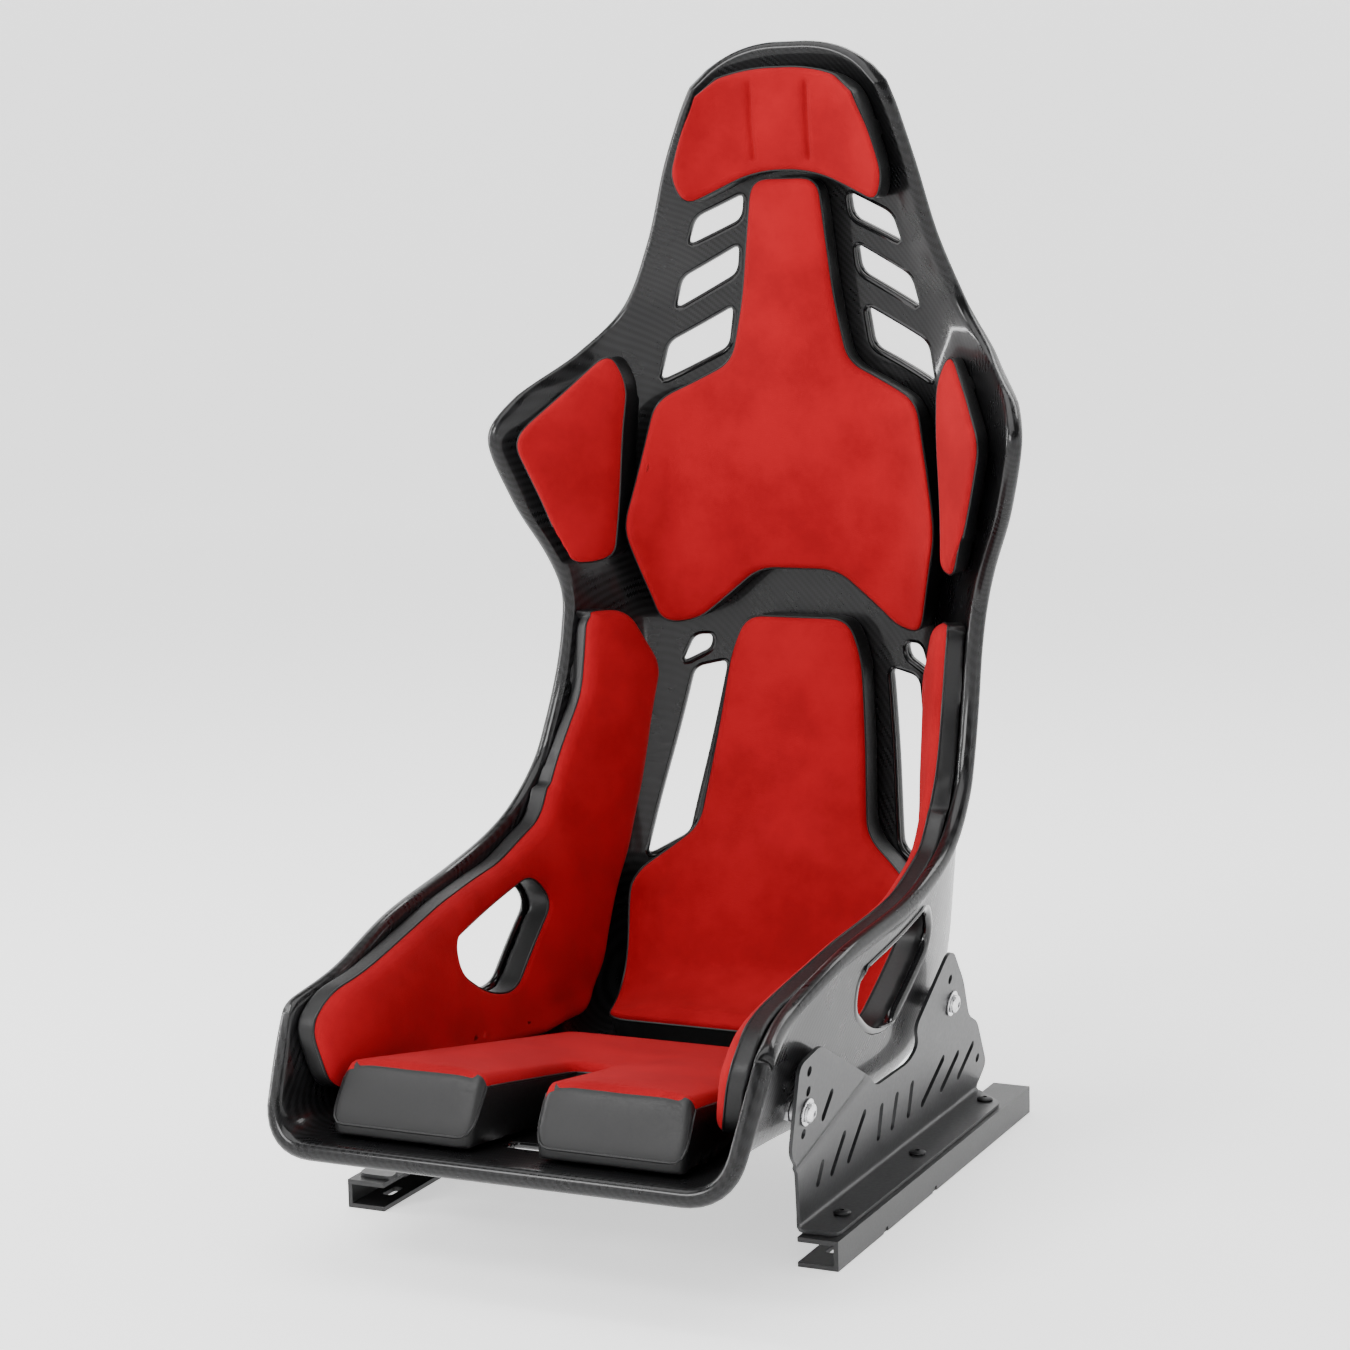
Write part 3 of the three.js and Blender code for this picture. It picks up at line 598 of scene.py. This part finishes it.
def make_metal(name, dark, light, rough, metallic, grain=300.0, coat=0.0):
    """Metal or coated metal with a cloudy tone and a fine grain."""
    material, tree, place, shader = new_material(name)
    cloud = noise(tree, place, 18.0)
    fine = noise(tree, place, grain, 2.0)
    set_shader(
        tree, shader,
        Base_Color=blend(tree, cloud * 0.6 + fine * 0.4, dark, light),
        Roughness=fine * 0.12 + cloud * 0.06 + (rough - 0.09),
        Metallic=metallic, Coat_Weight=coat, Coat_Roughness=0.15,
        Normal=bump(tree, fine, 0.0002, 0.3),
    )
    return material


LAMINATE = make_laminate()
GLOSS = make_gloss()
SUEDE = make_suede()
LEATHER = make_leather()
PLATE = make_metal("plate_satin", (0.010, 0.0102, 0.011), (0.020, 0.0205, 0.022), 0.40, 0.15, coat=0.1)
RAIL = make_metal("rail_coating", (0.004, 0.004, 0.0044), (0.009, 0.009, 0.0097), 0.46, 0.1, 700.0, 0.1)
ZINC = make_metal("zinc_steel", (0.62, 0.62, 0.63), (0.82, 0.82, 0.83), 0.27, 1.0)
BLACK_STEEL = make_metal("black_steel", (0.014, 0.014, 0.015), (0.03, 0.03, 0.031), 0.42, 0.6)
ALLOY = make_metal("spacer_alloy", (0.38, 0.38, 0.39), (0.55, 0.55, 0.56), 0.36, 1.0)


# ------------------------ shell
def rim_profile(edge):
    """Offsets of the inner and outer faces at a distance from the edge.

    A semicircle -r +- sqrt(r^2 - (r-d)^2) at the edge, then the outer face fades to the plain wall.
    """
    half = np.sqrt(np.maximum(RIM_ROLL**2 - np.maximum(RIM_ROLL - edge, 0) ** 2, 0))
    fade = np.clip((edge - RIM_ROLL) / (RIM_WIDTH - RIM_ROLL), 0, 1)
    fade = fade * fade * (3 - 2 * fade)
    return half - RIM_ROLL, -RIM_ROLL - half + (2 * RIM_ROLL - SHELL_WALL) * fade


def along_centre(spacing):
    """Station values for rows at an even spacing along the middle, close together at both rims."""
    k = np.linspace(0, LAST, 2000)
    middle = station_rows(k)[:, :2]
    length = np.r_[0, np.cumsum(np.linalg.norm(np.diff(middle, axis=0), axis=1))]
    body = np.linspace(RIM_ROLL, length[-1] - RIM_ROLL, int(length[-1] / spacing))
    at = np.r_[RIM_ROWS[:-1], body, length[-1] - RIM_ROWS[-2::-1]]
    return np.interp(at, length, k), at, length[-1]


def make_shell():
    """Laminate: the shell surface moved in and out by the rim profile, with its openings cut."""
    k, at, total = along_centre(6.0)
    girth = section(k)[-1][:, None]
    share = np.linspace(1, 0, 46)[None]
    from_edge = np.hstack([RIM_ROLL + (girth - RIM_ROLL) * share, np.tile(RIM_ROWS[-2::-1], (len(k), 1))])
    half = 1 - from_edge / girth
    t = np.hstack([-half[:, :0:-1], half])
    kk = np.tile(k[:, None], (1, t.shape[1]))
    edge = np.minimum((1 - np.abs(t)) * girth, np.minimum(at, total - at)[:, None])
    near, far = rim_profile(edge)
    rows, columns = t.shape
    points = np.vstack([offset_surface(kk, t, depth).reshape(-1, 3) for depth in (near, far)])
    faces = np.vstack([grid_faces(rows, columns), grid_faces(rows, columns, rows * columns)])
    shell = add_object("shell", points, faces, [LAMINATE])
    cutters = []
    for corners in VENTS.values():
        loop = rounded(corners, VENT_ROUND, 3)
        cutters += [prism(loop * [side, 1], "y", 60, 400) for side, _ in SIDES]
    cutters.append(prism(rounded(BELT_OPENING, BELT_ROUND, 3), "x", -300, 300))
    cutters.append(prism(rounded(STRAP_SLOT, STRAP_ROUND, 2), "z", 40, 160))
    cut(shell, *gather(cutters), sharp=35)
    return ship(shell, "carbon_shell", "seat_shell")


def make_lips():
    """Rolled lips: an ellipse swept round each opening, half sunk in the laminate."""
    parts = []
    for corners in VENTS.values():
        loop = rounded(corners, VENT_ROUND, 3)
        parts.append(tube(lay(loop - leftward(loop) * 1.6, "front", -4.0), LIP_WIDTH, 10, depth=LIP_DEPTH))
    loop = rounded(BELT_OPENING, BELT_ROUND, 3)
    parts.append(tube(lay(loop - leftward(loop) * 1.6, "side", -3.0), LIP_WIDTH, 10, depth=4.5))
    right, faces = gather(parts)
    slot = tube(lay(rounded(STRAP_SLOT, STRAP_ROUND, 2), "top", -2.5), 2.2, 8)
    lips = add_object("opening_lips", *gather([(right, faces), (right * [-1, 1, 1], faces), slot]), [GLOSS])
    return ship(lips, "carbon_shell")


# ------------------------ pads
def pad_solid(loops, base, top, height, rounding, crown=3.0, creases=(), spacing=7.0, skin=None):
    """Closed pad over flat loops that have the solid on their left.

    `base` and `top` give the 3-D places of 2-D points on the pad's back and face. The sides rise straight,
    turn over a quarter circle of each loop's `rounding`, and the face swells by crown (1 - exp(-d/22)) with d
    the distance to the edge. Creases are pressed in by 3.4 exp(-(s/2.6)^2). Gives points, faces, skin numbers
    (0 face, 1 side) and how free each point is to move (0 at the back, 1 on the face).
    """
    turn = np.linspace(0, np.pi / 2, 6)[1:]
    points, faces, skins, free = [], [], [], []
    count = 0

    def add(new_points, new_faces, new_skins, new_free):
        nonlocal count
        points.append(new_points)
        faces.extend((np.asarray(new_faces) + count).tolist())
        skins.extend(new_skins)
        free.append(new_free)
        count += len(new_points)

    inner = []
    for loop, radius in zip(loops, np.broadcast_to(rounding, len(loops))):
        straight = 1 - radius / height
        steps = [(0.0, share * straight) for share in (0, 0.33, 0.67, 1)]
        steps += [(radius * (1 - math.cos(a)), straight + (1 - straight) * math.sin(a)) for a in turn]
        rings = [loop + leftward(loop) * inset for inset, _ in steps]
        backs = base(rings[0])
        tops = [top(ring) for ring in rings]
        levels = np.array([share for _, share in steps])
        body = np.stack([backs + (ring - backs) * share for ring, share in zip(tops, levels)])
        turning = np.repeat(np.arange(len(steps) - 1) >= 4, len(loop))
        face_skin = skin(np.vstack(rings[:-1])) if skin else 0
        skin_rows = np.where(turning, face_skin, 1)
        add(body.reshape(-1, 3), grid_faces(len(steps), len(loop), closed=True), skin_rows,
            np.repeat(np.clip(levels * 1.4 - 0.4, 0, 1), len(loop)))
        inner.append(rings[-1])
    flat, triangles = fill(inner, spacing, creases)
    reach = distance_to(flat, inner)
    swell = crown * (1 - np.exp(-reach / 22))
    for line in creases:
        gap = distance_to_path(flat, line)
        swell = swell - 3.4 * np.exp(-((gap / 2.6) ** 2)) * np.minimum(reach / 3, 1)
    backs, tops = base(flat), top(flat)
    up = (tops - backs) / np.linalg.norm(tops - backs, axis=1, keepdims=True)
    centre = flat[triangles].mean(1)
    add(tops + up * swell[:, None], triangles, skin(centre) if skin else np.zeros(len(triangles), int),
        np.clip(reach / 6, 0.2, 1))
    flat, triangles = fill(list(loops), 16.0)
    add(base(flat), triangles[:, ::-1], np.ones(len(triangles), int), np.zeros(len(flat)))
    return np.vstack(points), faces, skins, np.concatenate(free)


def seam_tube(loops, base, top, height, rounding):
    """Piping where the side turns into the face, 18 degrees round the quarter circle."""
    parts = []
    for loop, radius in zip(loops, np.broadcast_to(rounding, len(loops))):
        ring = loop + leftward(loop) * radius * (1 - math.cos(math.pi / 10))
        back, face = base(ring), top(ring)
        share = 1 - radius / height * (1 - math.sin(math.pi / 10))
        parts.append(tube(back + (face - back) * share, PIPING, 6))
    return gather(parts)


pads = []


def add_pad(name, node_name, loops, base, top, height, side=1, rounding=PAD_EDGE, **shape):
    """One upholstered pad and its piping, mirrored when side is -1."""
    points, faces, skins, free = pad_solid(loops, base, top, height, rounding, **shape)
    seam_points, seam_faces = seam_tube(loops, base, top, height, rounding)
    points, seam_points = points * [side, 1, 1], seam_points * [side, 1, 1]
    pad = add_object(name, points, faces, [SUEDE, LEATHER], skins, sharp=60)
    ship(pad, "red_suede", node_name)
    seam = add_object(name + "_piping", seam_points, seam_faces, [LEATHER])
    ship(seam, "black_leather")
    pads.append((pad, points, free))


def lay_pad(name, node_name, loops, view, thickness, side=1, **shape):
    """A pad of one thickness laid on the shell from one view."""
    def base(points):
        return lay(points, view, PAD_GAP)

    def top(points):
        return lay(points, view, PAD_GAP + thickness)

    add_pad(name, node_name, loops, base, top, thickness, side, **shape)


def make_pads():
    head = rounded(both_halves(HEAD_PAD), HEAD_ROUND)
    seams = [[[x, 940], [x * 0.98, 836]] for x in (-27, 27)]
    lay_pad("head_cushion", "head_pad", [head], "front", PAD_THICKNESS, creases=seams, crown=4)
    shoulder = rounded(both_halves(SHOULDER_PAD), PAD_ROUND)
    lay_pad("shoulder_cushion", "shoulder_pad", [shoulder], "front", PAD_THICKNESS, crown=4)
    lumbar = rounded(both_halves(LUMBAR_PAD), PAD_ROUND)
    lay_pad("lumbar_cushion", "lumbar_pad", [lumbar], "lumbar", LUMBAR_THICKNESS, crown=4)
    wing = rounded(WING_PAD, PAD_ROUND)
    bolster = rounded(BOLSTER_PAD, PAD_ROUND)
    belt = rounded(BELT_OPENING, BELT_ROUND)[::-1]
    for side, word in SIDES:
        lay_pad("wing_cushion_" + word, "wing_pad_" + word, [wing], "front", SIDE_THICKNESS, side)
        lay_pad("bolster_" + word, "bolster_pad_" + word, [bolster, belt], "side", SIDE_THICKNESS, side,
                rounding=(14.0, 5.0))


def make_cushion():
    """Seat cushion: the top follows the side profile, and its front faces are leatherette."""
    def base(points):
        return lay(points, "top", CUSHION_BED)

    def top(points):
        height = np.interp(points[:, 1], CUSHION_SIDE[:, 0], CUSHION_SIDE[:, 1])
        return np.stack([points[:, 0], points[:, 1], height], -1)

    def skin(centre):
        return np.where(centre[:, 1] < CUSHION_SIDE[1, 0] - 1, 1, 0)

    plan = rounded(CUSHION_PLAN, CUSHION_ROUND)
    ridge = [[-160, -385], [160, -385]]
    add_pad("seat_cushion_cover", "seat_cushion", [plan], base, top, PAD_THICKNESS, creases=[ridge], crown=4,
            skin=skin)


def inflate():
    """Puffs the covers with cloth pressure over a pinned back.

    The movement is evened out between neighbours, and at most PUFF of it is kept.
    """
    scene = bpy.context.scene
    for pad, points, free in pads:
        group = pad.vertex_groups.new(name="held")
        held = 1 - nearest_values(pad, points, free)
        for index, weight in enumerate(held.tolist()):
            group.add([index], weight, "REPLACE")
        cloth = pad.modifiers.new("cover", "CLOTH").settings
        cloth.quality = 6
        cloth.mass = 0.3
        cloth.tension_stiffness = cloth.compression_stiffness = 18
        cloth.shear_stiffness = 8
        cloth.bending_stiffness = 1.5
        cloth.use_pressure = True
        cloth.uniform_pressure_force = 4.0
        cloth.vertex_group_mass = group.name
        cloth.effector_weights.gravity = 0.0
    for step in range(1, 21):
        scene.frame_set(step)
    graph = bpy.context.evaluated_depsgraph_get()
    for pad, _, _ in pads:
        rest = coordinates(pad.data)
        moved = coordinates(pad.evaluated_get(graph).to_mesh())
        change = evened(pad.data, moved - rest)
        far = np.linalg.norm(change, axis=1, keepdims=True)
        change *= np.minimum(1, PUFF * MM / np.maximum(far, 1e-9))
        pad.modifiers.clear()
        pad.data.vertices.foreach_set("co", (rest + change).ravel())
        pad.data.update()
    scene.frame_set(1)


def evened(mesh, change, rounds=5):
    """Movement evened out between neighbours: each round goes halfway to the mean of the joined vertices."""
    ends = np.empty(len(mesh.edges) * 2, np.int32)
    mesh.edges.foreach_get("vertices", ends)
    first, second = ends.reshape(-1, 2).T
    joined = np.bincount(ends, minlength=len(change))[:, None]
    for _ in range(rounds):
        total = np.zeros_like(change)
        np.add.at(total, first, change[second])
        np.add.at(total, second, change[first])
        change = 0.5 * change + 0.5 * total / np.maximum(joined, 1)
    return change


def coordinates(mesh):
    """Vertex places, one row each."""
    flat = np.empty(len(mesh.vertices) * 3)
    mesh.vertices.foreach_get("co", flat)
    return flat.reshape(-1, 3)


def nearest_values(pad, points, free):
    """The freedom of each welded vertex: the least of the points it was welded from."""
    tree = KDTree(len(points))
    for index, place in enumerate((points + SHIFT) * MM):
        tree.insert(place, index)
    tree.balance()
    return np.array([min(free[i] for _, i, _ in tree.find_range(v.co, 3e-5)) for v in pad.data.vertices])


# ------------------------ side plates, rails and fasteners
LEAN_UP = np.array([math.sin(PLATE_LEAN), 0, math.cos(PLATE_LEAN)])
LEAN_OUT = np.array([math.cos(PLATE_LEAN), 0, -math.sin(PLATE_LEAN)])
FOOT = np.array([BEND_X + math.tan(PLATE_LEAN) * PLATE_THICKNESS, 0, RAIL_TOP + PLATE_THICKNESS])
FOOT_HEIGHT = PLATE_THICKNESS / math.cos(PLATE_LEAN)  # how far up the web the flange's top face meets it


def web_height(z):
    """Distance up the leaning plate of a point at height z."""
    return (z - RAIL_TOP) / math.cos(PLATE_LEAN)


def plate_place(points, radius=4.0):
    """Outer face of the bent sheet: flange for s < 0, web for s > 0, and between -r and r the curve
    (1-u)^2 a + 2u(1-u) b + u^2 c round the bend."""
    y, s = points[:, 0], points[:, 1] - FOOT_HEIGHT
    out, up = np.array([1.0, 0, 0]), LEAN_UP
    u = np.clip((s + radius) / (2 * radius), 0, 1)[:, None]
    bend = (1 - u) ** 2 * radius * out + u * u * radius * up
    place = bend + np.maximum(-s - radius, 0)[:, None] * out + np.maximum(s - radius, 0)[:, None] * up
    return FOOT + place + np.stack([0 * y, y, 0 * y], -1)


def stadium(y0, v0, y1, v1, width=8.0):
    """Round-ended slot between two centres, clockwise so that the solid is on its left."""
    along = np.array([y1 - y0, v1 - v0])
    angle = math.atan2(along[1], along[0])
    a = np.linspace(-np.pi / 2, np.pi / 2, 9)
    end = np.stack([np.cos(a + angle), np.sin(a + angle)], -1) * width / 2
    loop = np.vstack([[y1, v1] + end, [y0, v0] - end])
    return loop[::-1]


def circle(y, v, radius, count=28):
    a = -np.arange(count) * 2 * np.pi / count
    return np.stack([y + radius * np.cos(a), v + radius * np.sin(a)], -1)


def make_plates():
    """Side plates: one flat outline with its slots and holes, bent at the foot, pressed and thickened."""
    front_y, rear_y = FRONT_BOLT[0], REAR_BOLT[0]
    front_v, rear_v = web_height(FRONT_BOLT[1]), web_height(REAR_BOLT[1])
    arch = min(front_v, rear_v) - 22
    tail = RAIL_Y[1] - 14
    flange = FOOT_HEIGHT - (BEND_X + 35 - FOOT[0])
    outline = [
        [front_y + 10, flange], [tail - 52, flange], [tail - 22, FOOT_HEIGHT - 4], [tail - 22, 2],
        [tail, 22], [rear_y + 80, arch - 8], [rear_y + 54, arch + 4], [rear_y + 26, rear_v + 14],
        [rear_y - 10, rear_v + 48], [rear_y - 24, rear_v + 50], [rear_y - 82, rear_v],
        [rear_y - 70, arch + 10], [rear_y - 88, arch], [front_y + 152, arch], [front_y + 133, arch + 14],
        [front_y + 14, front_v + 50], [front_y - 25, front_v + 44], [front_y - 20, arch - 8],
        [front_y - 4, arch - 22], [front_y + 17, 6], [front_y + 10, 0],
    ]
    low, high = 30, min(56, arch - 18)
    slots = [
        [front_y + 46, low, front_y + 50, low + 14], [front_y + 75, low, front_y + 91, high],
        [front_y + 110, low, front_y + 132, high + 6],
        [front_y + 39, front_v - 15, front_y + 50, front_v + 1],
        [rear_y - 141, low, rear_y - 143, high], [rear_y - 110, low, rear_y - 109, high],
        [rear_y - 73, low, rear_y - 74, high], [rear_y - 40, low, rear_y - 2, high + 3],
        [rear_y + 6, low, rear_y + 36, high - 3], [rear_y + 48, low, rear_y + 74, high - 5],
    ]
    holes = [
        [front_y, front_v - 18], [front_y - 1, front_v + 17], [front_y - 4, front_v + 34],
        [rear_y - 11, rear_v + 24], [tail - 28, low + 4], [front_y, front_v], [rear_y, rear_v],
    ]
    loops = [rounded(outline, 9, 4)]
    loops += [stadium(*slot) for slot in slots]
    loops += [circle(y, v, 4.2) for y, v in holes]
    loops += [circle(y, FOOT_HEIGHT - (RAIL_BOLT_X - FOOT[0]), 4.3) for y in RAIL_BOLT_Y]
    crease = [[-287, web_height(78)], [-151, web_height(118)]]
    flat, triangles = fill(loops, 8.0, [crease, [[-262, FOOT_HEIGHT], [130, FOOT_HEIGHT]]])
    points = plate_place(flat)
    points -= LEAN_OUT * (1.4 * np.exp(-((distance_to_path(flat, crease) / 2.2) ** 2)))[:, None]
    for side, word in SIDES:
        plate = thick_sheet("plate_" + word, points * [side, 1, 1], triangles[:, ::side])
        bevel(plate, 0.45)
        ship(plate, "plate_steel", "side_plate_" + word)


def thick_sheet(name, points, triangles):
    """Closed plate of the plate's thickness behind an open outer face."""
    normals = np.zeros_like(points)
    a, b, c = (points[triangles[:, n]] for n in range(3))
    facing = np.cross(b - a, c - a)
    for corner in triangles.T:
        np.add.at(normals, corner, facing)
    normals /= np.maximum(np.linalg.norm(normals, axis=1, keepdims=True), 1e-12)
    outward = np.sign((normals[:, 0] * points[:, 0]).sum())
    back = points - outward * normals * PLATE_THICKNESS
    edges = np.vstack([triangles[:, [0, 1]], triangles[:, [1, 2]], triangles[:, [2, 0]]])
    keys = {(int(p), int(q)) for p, q in edges}
    rim = [(p, q) for p, q in keys if (q, p) not in keys]
    count = len(points)
    walls = [[p, q, count + q, count + p] for p, q in rim]
    faces = [*triangles.tolist(), *(triangles[:, ::-1] + count).tolist(), *walls]
    return add_object(name, np.vstack([points, back]), faces, [PLATE], sharp=30)


def make_rails():
    """Floor rails: a channel profile carried along y, with bolt holes, floor slots and two notches."""
    inner, outer = RAIL_X
    profile = [
        [inner, 0], [outer, 0], [outer, RAIL_HEIGHT], [inner, RAIL_HEIGHT],
        [inner, RAIL_HEIGHT - RAIL_WALL], [outer - RAIL_WALL, RAIL_HEIGHT - RAIL_WALL],
        [outer - RAIL_WALL, RAIL_WALL], [inner, RAIL_WALL],
    ]
    cutters = [prism(circle(RAIL_BOLT_X, y, 4.3), "z", 12, 30) for y in RAIL_BOLT_Y]
    for y in (RAIL_Y[0] + 40, RAIL_Y[1] - 40):
        loop = rounded([[RAIL_BOLT_X - 4.5, y - 11], [RAIL_BOLT_X + 4.5, y - 11],
                        [RAIL_BOLT_X + 4.5, y + 11], [RAIL_BOLT_X - 4.5, y + 11]], 4.5, 1.5)
        cutters.append(prism(loop, "z", -5, 12))
    for y in (RAIL_Y[0] + 95, RAIL_Y[0] + 205):
        notch = rounded([[outer - 1.2, -2], [outer + 3, -2], [outer + 3, 4], [outer - 1.2, 4]], 0.5, 0.7)
        cutters.append(prism(notch, "y", y, y + 9))
    points, faces = prism(profile, "y", *RAIL_Y)
    cut_points, cut_faces = gather(cutters)
    for side, word in SIDES:
        rail = add_object("rail_" + word, points * [side, 1, 1], faces, [RAIL])
        cut(rail, cut_points * [side, 1, 1], cut_faces, sharp=30)
        bevel(rail, 0.9, 3)
        ship(rail, "rail_steel", "floor_rail_" + word)


def turned(profile, segments=40, hexed=()):
    """Solid of revolution about z from (radius, z) rows.

    Hexed rows follow a hexagon, r cos(30) / cos(a mod 60 - 30). A profile that starts and ends off the axis
    closes on itself as a ring.
    """
    profile = np.asarray(profile, float)
    a = np.arange(segments) * 2 * np.pi / segments
    flat = np.cos(np.pi / 6) / np.cos(a % (np.pi / 3) - np.pi / 6)
    radius = np.tile(profile[:, :1], (1, segments))
    for row in hexed:
        radius[row] *= flat
    points = np.stack([radius * np.cos(a), radius * np.sin(a), np.tile(profile[:, 1:], (1, segments))], -1)
    faces = grid_faces(len(profile), segments, closed=True).tolist()
    if profile[0, 0] > 0.01:
        last = (len(profile) - 1) * segments
        faces += [[last + i, last + (i + 1) % segments, (i + 1) % segments, i] for i in range(segments)]
    return points.reshape(-1, 3), faces


def on_axis(points, origin, axis):
    """Turns a piece from +Z to an axis and moves it to its place."""
    spin = np.array(Vector((0, 0, 1)).rotation_difference(Vector(axis)).to_matrix())
    return points @ spin.T + origin


def screw(radius, head, height, length, socket):
    """Button-head screw with a hexagon socket, seated at z = 0."""
    dome = [[head * math.cos(a), height * (0.35 + 0.65 * math.sin(a))] for a in np.linspace(0, 1.05, 7)]
    profile = [
        [0.001, height - socket * 0.9], [socket, height - socket * 0.9], [socket, height * 0.98],
        [socket + 0.35, height], *dome[::-1], [head, height * 0.3], [head - 0.3, 0], [radius, 0],
        [radius, 1 - length], [radius - 1, -length], [0.001, -length],
    ]
    return turned(profile, 48, hexed=(1, 2))


def add_pair(name, points, faces, material, slot, node_name):
    """The right-hand piece and its mirror image."""
    for side, word in SIDES:
        made = add_object("%s_%s" % (name, word), points * [side, 1, 1], faces, [material])
        ship(made, slot, "%s_%s" % (node_name, word))


def make_fasteners():
    """Side bolts on the leaning plates, each with its washer and spacer, and the screws on the rails."""
    for end, (y, z) in (("front", FRONT_BOLT), ("rear", REAR_BOLT)):
        seat_point = np.array([BEND_X, y, RAIL_TOP]) + LEAN_UP * web_height(z)
        lowest, highest = (np.array(c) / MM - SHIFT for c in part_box("mount_spacer_%s_right" % end))
        middle = (lowest + highest) / 2
        run = 2 * np.dot(seat_point - LEAN_OUT * (PLATE_THICKNESS + SEAT_GAP) - middle, LEAN_OUT)
        bolt_low, bolt_high = (np.array(c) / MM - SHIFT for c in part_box("mount_bolt_%s_right" % end))
        length = (bolt_high[0] - bolt_low[0]) / math.cos(PLATE_LEAN) - 6.5
        spacer = turned([[4.3, 0.4], [4.7, 0], [8.6, 0], [9, 0.4],
                         [9, run - 0.4], [8.6, run], [4.7, run], [4.3, run - 0.4]])
        washer = turned([[4.3, 0], [10.8, 0], [11, 0.2], [11, WASHER - 0.3],
                         [10.7, WASHER], [4.5, WASHER], [4.3, WASHER - 0.2]])
        bolt = screw(4, 8, 5, length, 2.9)
        shapes = [
            ("spacer", spacer, middle - LEAN_OUT * run / 2, ALLOY, "spacer_alloy"),
            ("washer", washer, seat_point + LEAN_OUT * SEAT_GAP, ZINC, "zinc_steel"),
            ("bolt", bolt, seat_point + LEAN_OUT * (WASHER + 2 * SEAT_GAP), ZINC, "zinc_steel"),
        ]
        for kind, (points, faces), origin, material, slot in shapes:
            points = on_axis(points, origin, LEAN_OUT)
            add_pair("side_%s_%s" % (kind, end), points, faces, material, slot, "mount_%s_%s" % (kind, end))
    for place, y in zip(("front", "middle", "rear"), RAIL_BOLT_Y):
        points, faces = screw(4, 7, 3, 14, 2.2)
        points = points + [RAIL_BOLT_X, y, RAIL_TOP + PLATE_THICKNESS + SEAT_GAP]
        add_pair("flange_screw_" + place, points, faces, BLACK_STEEL, "black_steel", "rail_bolt_" + place)


def dress_frame():
    """Finishes on the CAD solids that stay in view: inserts and nuts."""
    for name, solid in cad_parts.items():
        if solid.hide_render:
            continue
        material = BLACK_STEEL if name.startswith("rail_nut") else ALLOY
        solid.data.materials.clear()
        solid.data.materials.append(material)


# ------------------------ studio
def make_studio():
    """Pale floor that curves up into a wall all round, five soft lights, and a dim white world."""
    material, tree, place, shader = new_material("studio_floor")
    cloud = noise(tree, place, 1.5)
    set_shader(
        tree, shader,
        Base_Color=blend(tree, cloud, (0.86, 0.86, 0.86), (0.89, 0.89, 0.89)),
        Roughness=cloud * 0.1 + 0.6, Specular_IOR_Level=0.2,
        Emission_Color=blend(tree, cloud, (0.98, 0.98, 0.98), (1.0, 1.0, 1.0)), Emission_Strength=0.95,
    )
    rise = np.linspace(0, np.pi / 2, 16)
    wall = np.stack([5.5 + 2 * np.sin(rise), 2 - 2 * np.cos(rise)], -1)
    profile = np.vstack([[[0.001, 0], [2, 0], [4, 0]], wall, [[7.5, 5.5]]])
    around = np.linspace(0, 2 * np.pi, 96, endpoint=False)
    radius, height = profile[:, :1], np.tile(profile[:, 1:], (1, 96))
    points = np.stack([radius * np.cos(around), radius * np.sin(around), height], -1)
    mesh = bpy.data.meshes.new("backdrop")
    faces = grid_faces(len(profile), 96, closed=True)
    mesh.from_pydata(points.reshape(-1, 3).tolist(), [], faces[:, ::-1].tolist())
    mesh.materials.append(material)
    mesh.shade_smooth()
    link("backdrop", mesh)

    for name, power, size, place, aim in (
        ("key", 58, (1.3, 0.8), (-1.0, -2.1, 2.4), (0, 0, 0.5)),
        ("sky", 75, (2.6, 2.6), (-0.3, -0.2, 3.2), (0, 0, 0)),
        ("strip", 30, (0.08, 2.0), (-2.3, -0.3, 1.3), (0, 0, 0.6)),
        ("fill", 3, (0.15, 1.8), (2.6, -0.5, 1.2), (0, 0, 0.4)),
        ("rim", 30, (2.4, 0.5), (0.2, 1.9, 2.3), (0, 0, 0.6)),
    ):
        lamp = bpy.data.lights.new(name, "AREA")
        lamp.shape = "RECTANGLE"
        lamp.size, lamp.size_y = size
        lamp.energy = power
        made = link(name, lamp)
        made.location = place
        made.rotation_euler = (Vector(aim) - Vector(place)).to_track_quat("-Z", "Y").to_euler()

    world = bpy.data.worlds.new("studio")
    world.use_nodes = True
    sky = world.node_tree.nodes["Background"].inputs
    sky["Color"].default_value = (1, 1, 1, 1)
    sky["Strength"].default_value = 0.15
    bpy.context.scene.world = world


def make_camera():
    """Eye a little below the top of the seat, off its right front corner, with a small roll."""
    yaw, pitch, roll = math.radians(25.41), math.radians(8.937), math.radians(-1.428)
    forward = Vector((-math.sin(yaw) * math.cos(pitch), math.cos(yaw) * math.cos(pitch), -math.sin(pitch)))
    level = Vector((math.cos(yaw), math.sin(yaw), 0))
    above = level.cross(forward)
    right = math.cos(roll) * level + math.sin(roll) * above
    upward = -math.sin(roll) * level + math.cos(roll) * above
    data = bpy.data.cameras.new("camera")
    data.lens = 85.2
    data.sensor_width = 36
    camera = link("camera", data)
    turn = Matrix((right, upward, -forward)).transposed().to_4x4()
    camera.matrix_world = Matrix.Translation((1.1233, -2.4511 + SHIFT[1] * MM, 0.8363)) @ turn
    bpy.context.scene.camera = camera


make_shell()
make_lips()
make_pads()
make_cushion()
inflate()
for pad, _, _ in pads:
    detail = pad.modifiers.new("detail", "SUBSURF")
    detail.levels = detail.render_levels = 1
make_plates()
make_rails()
make_fasteners()
dress_frame()
make_studio()
make_camera()
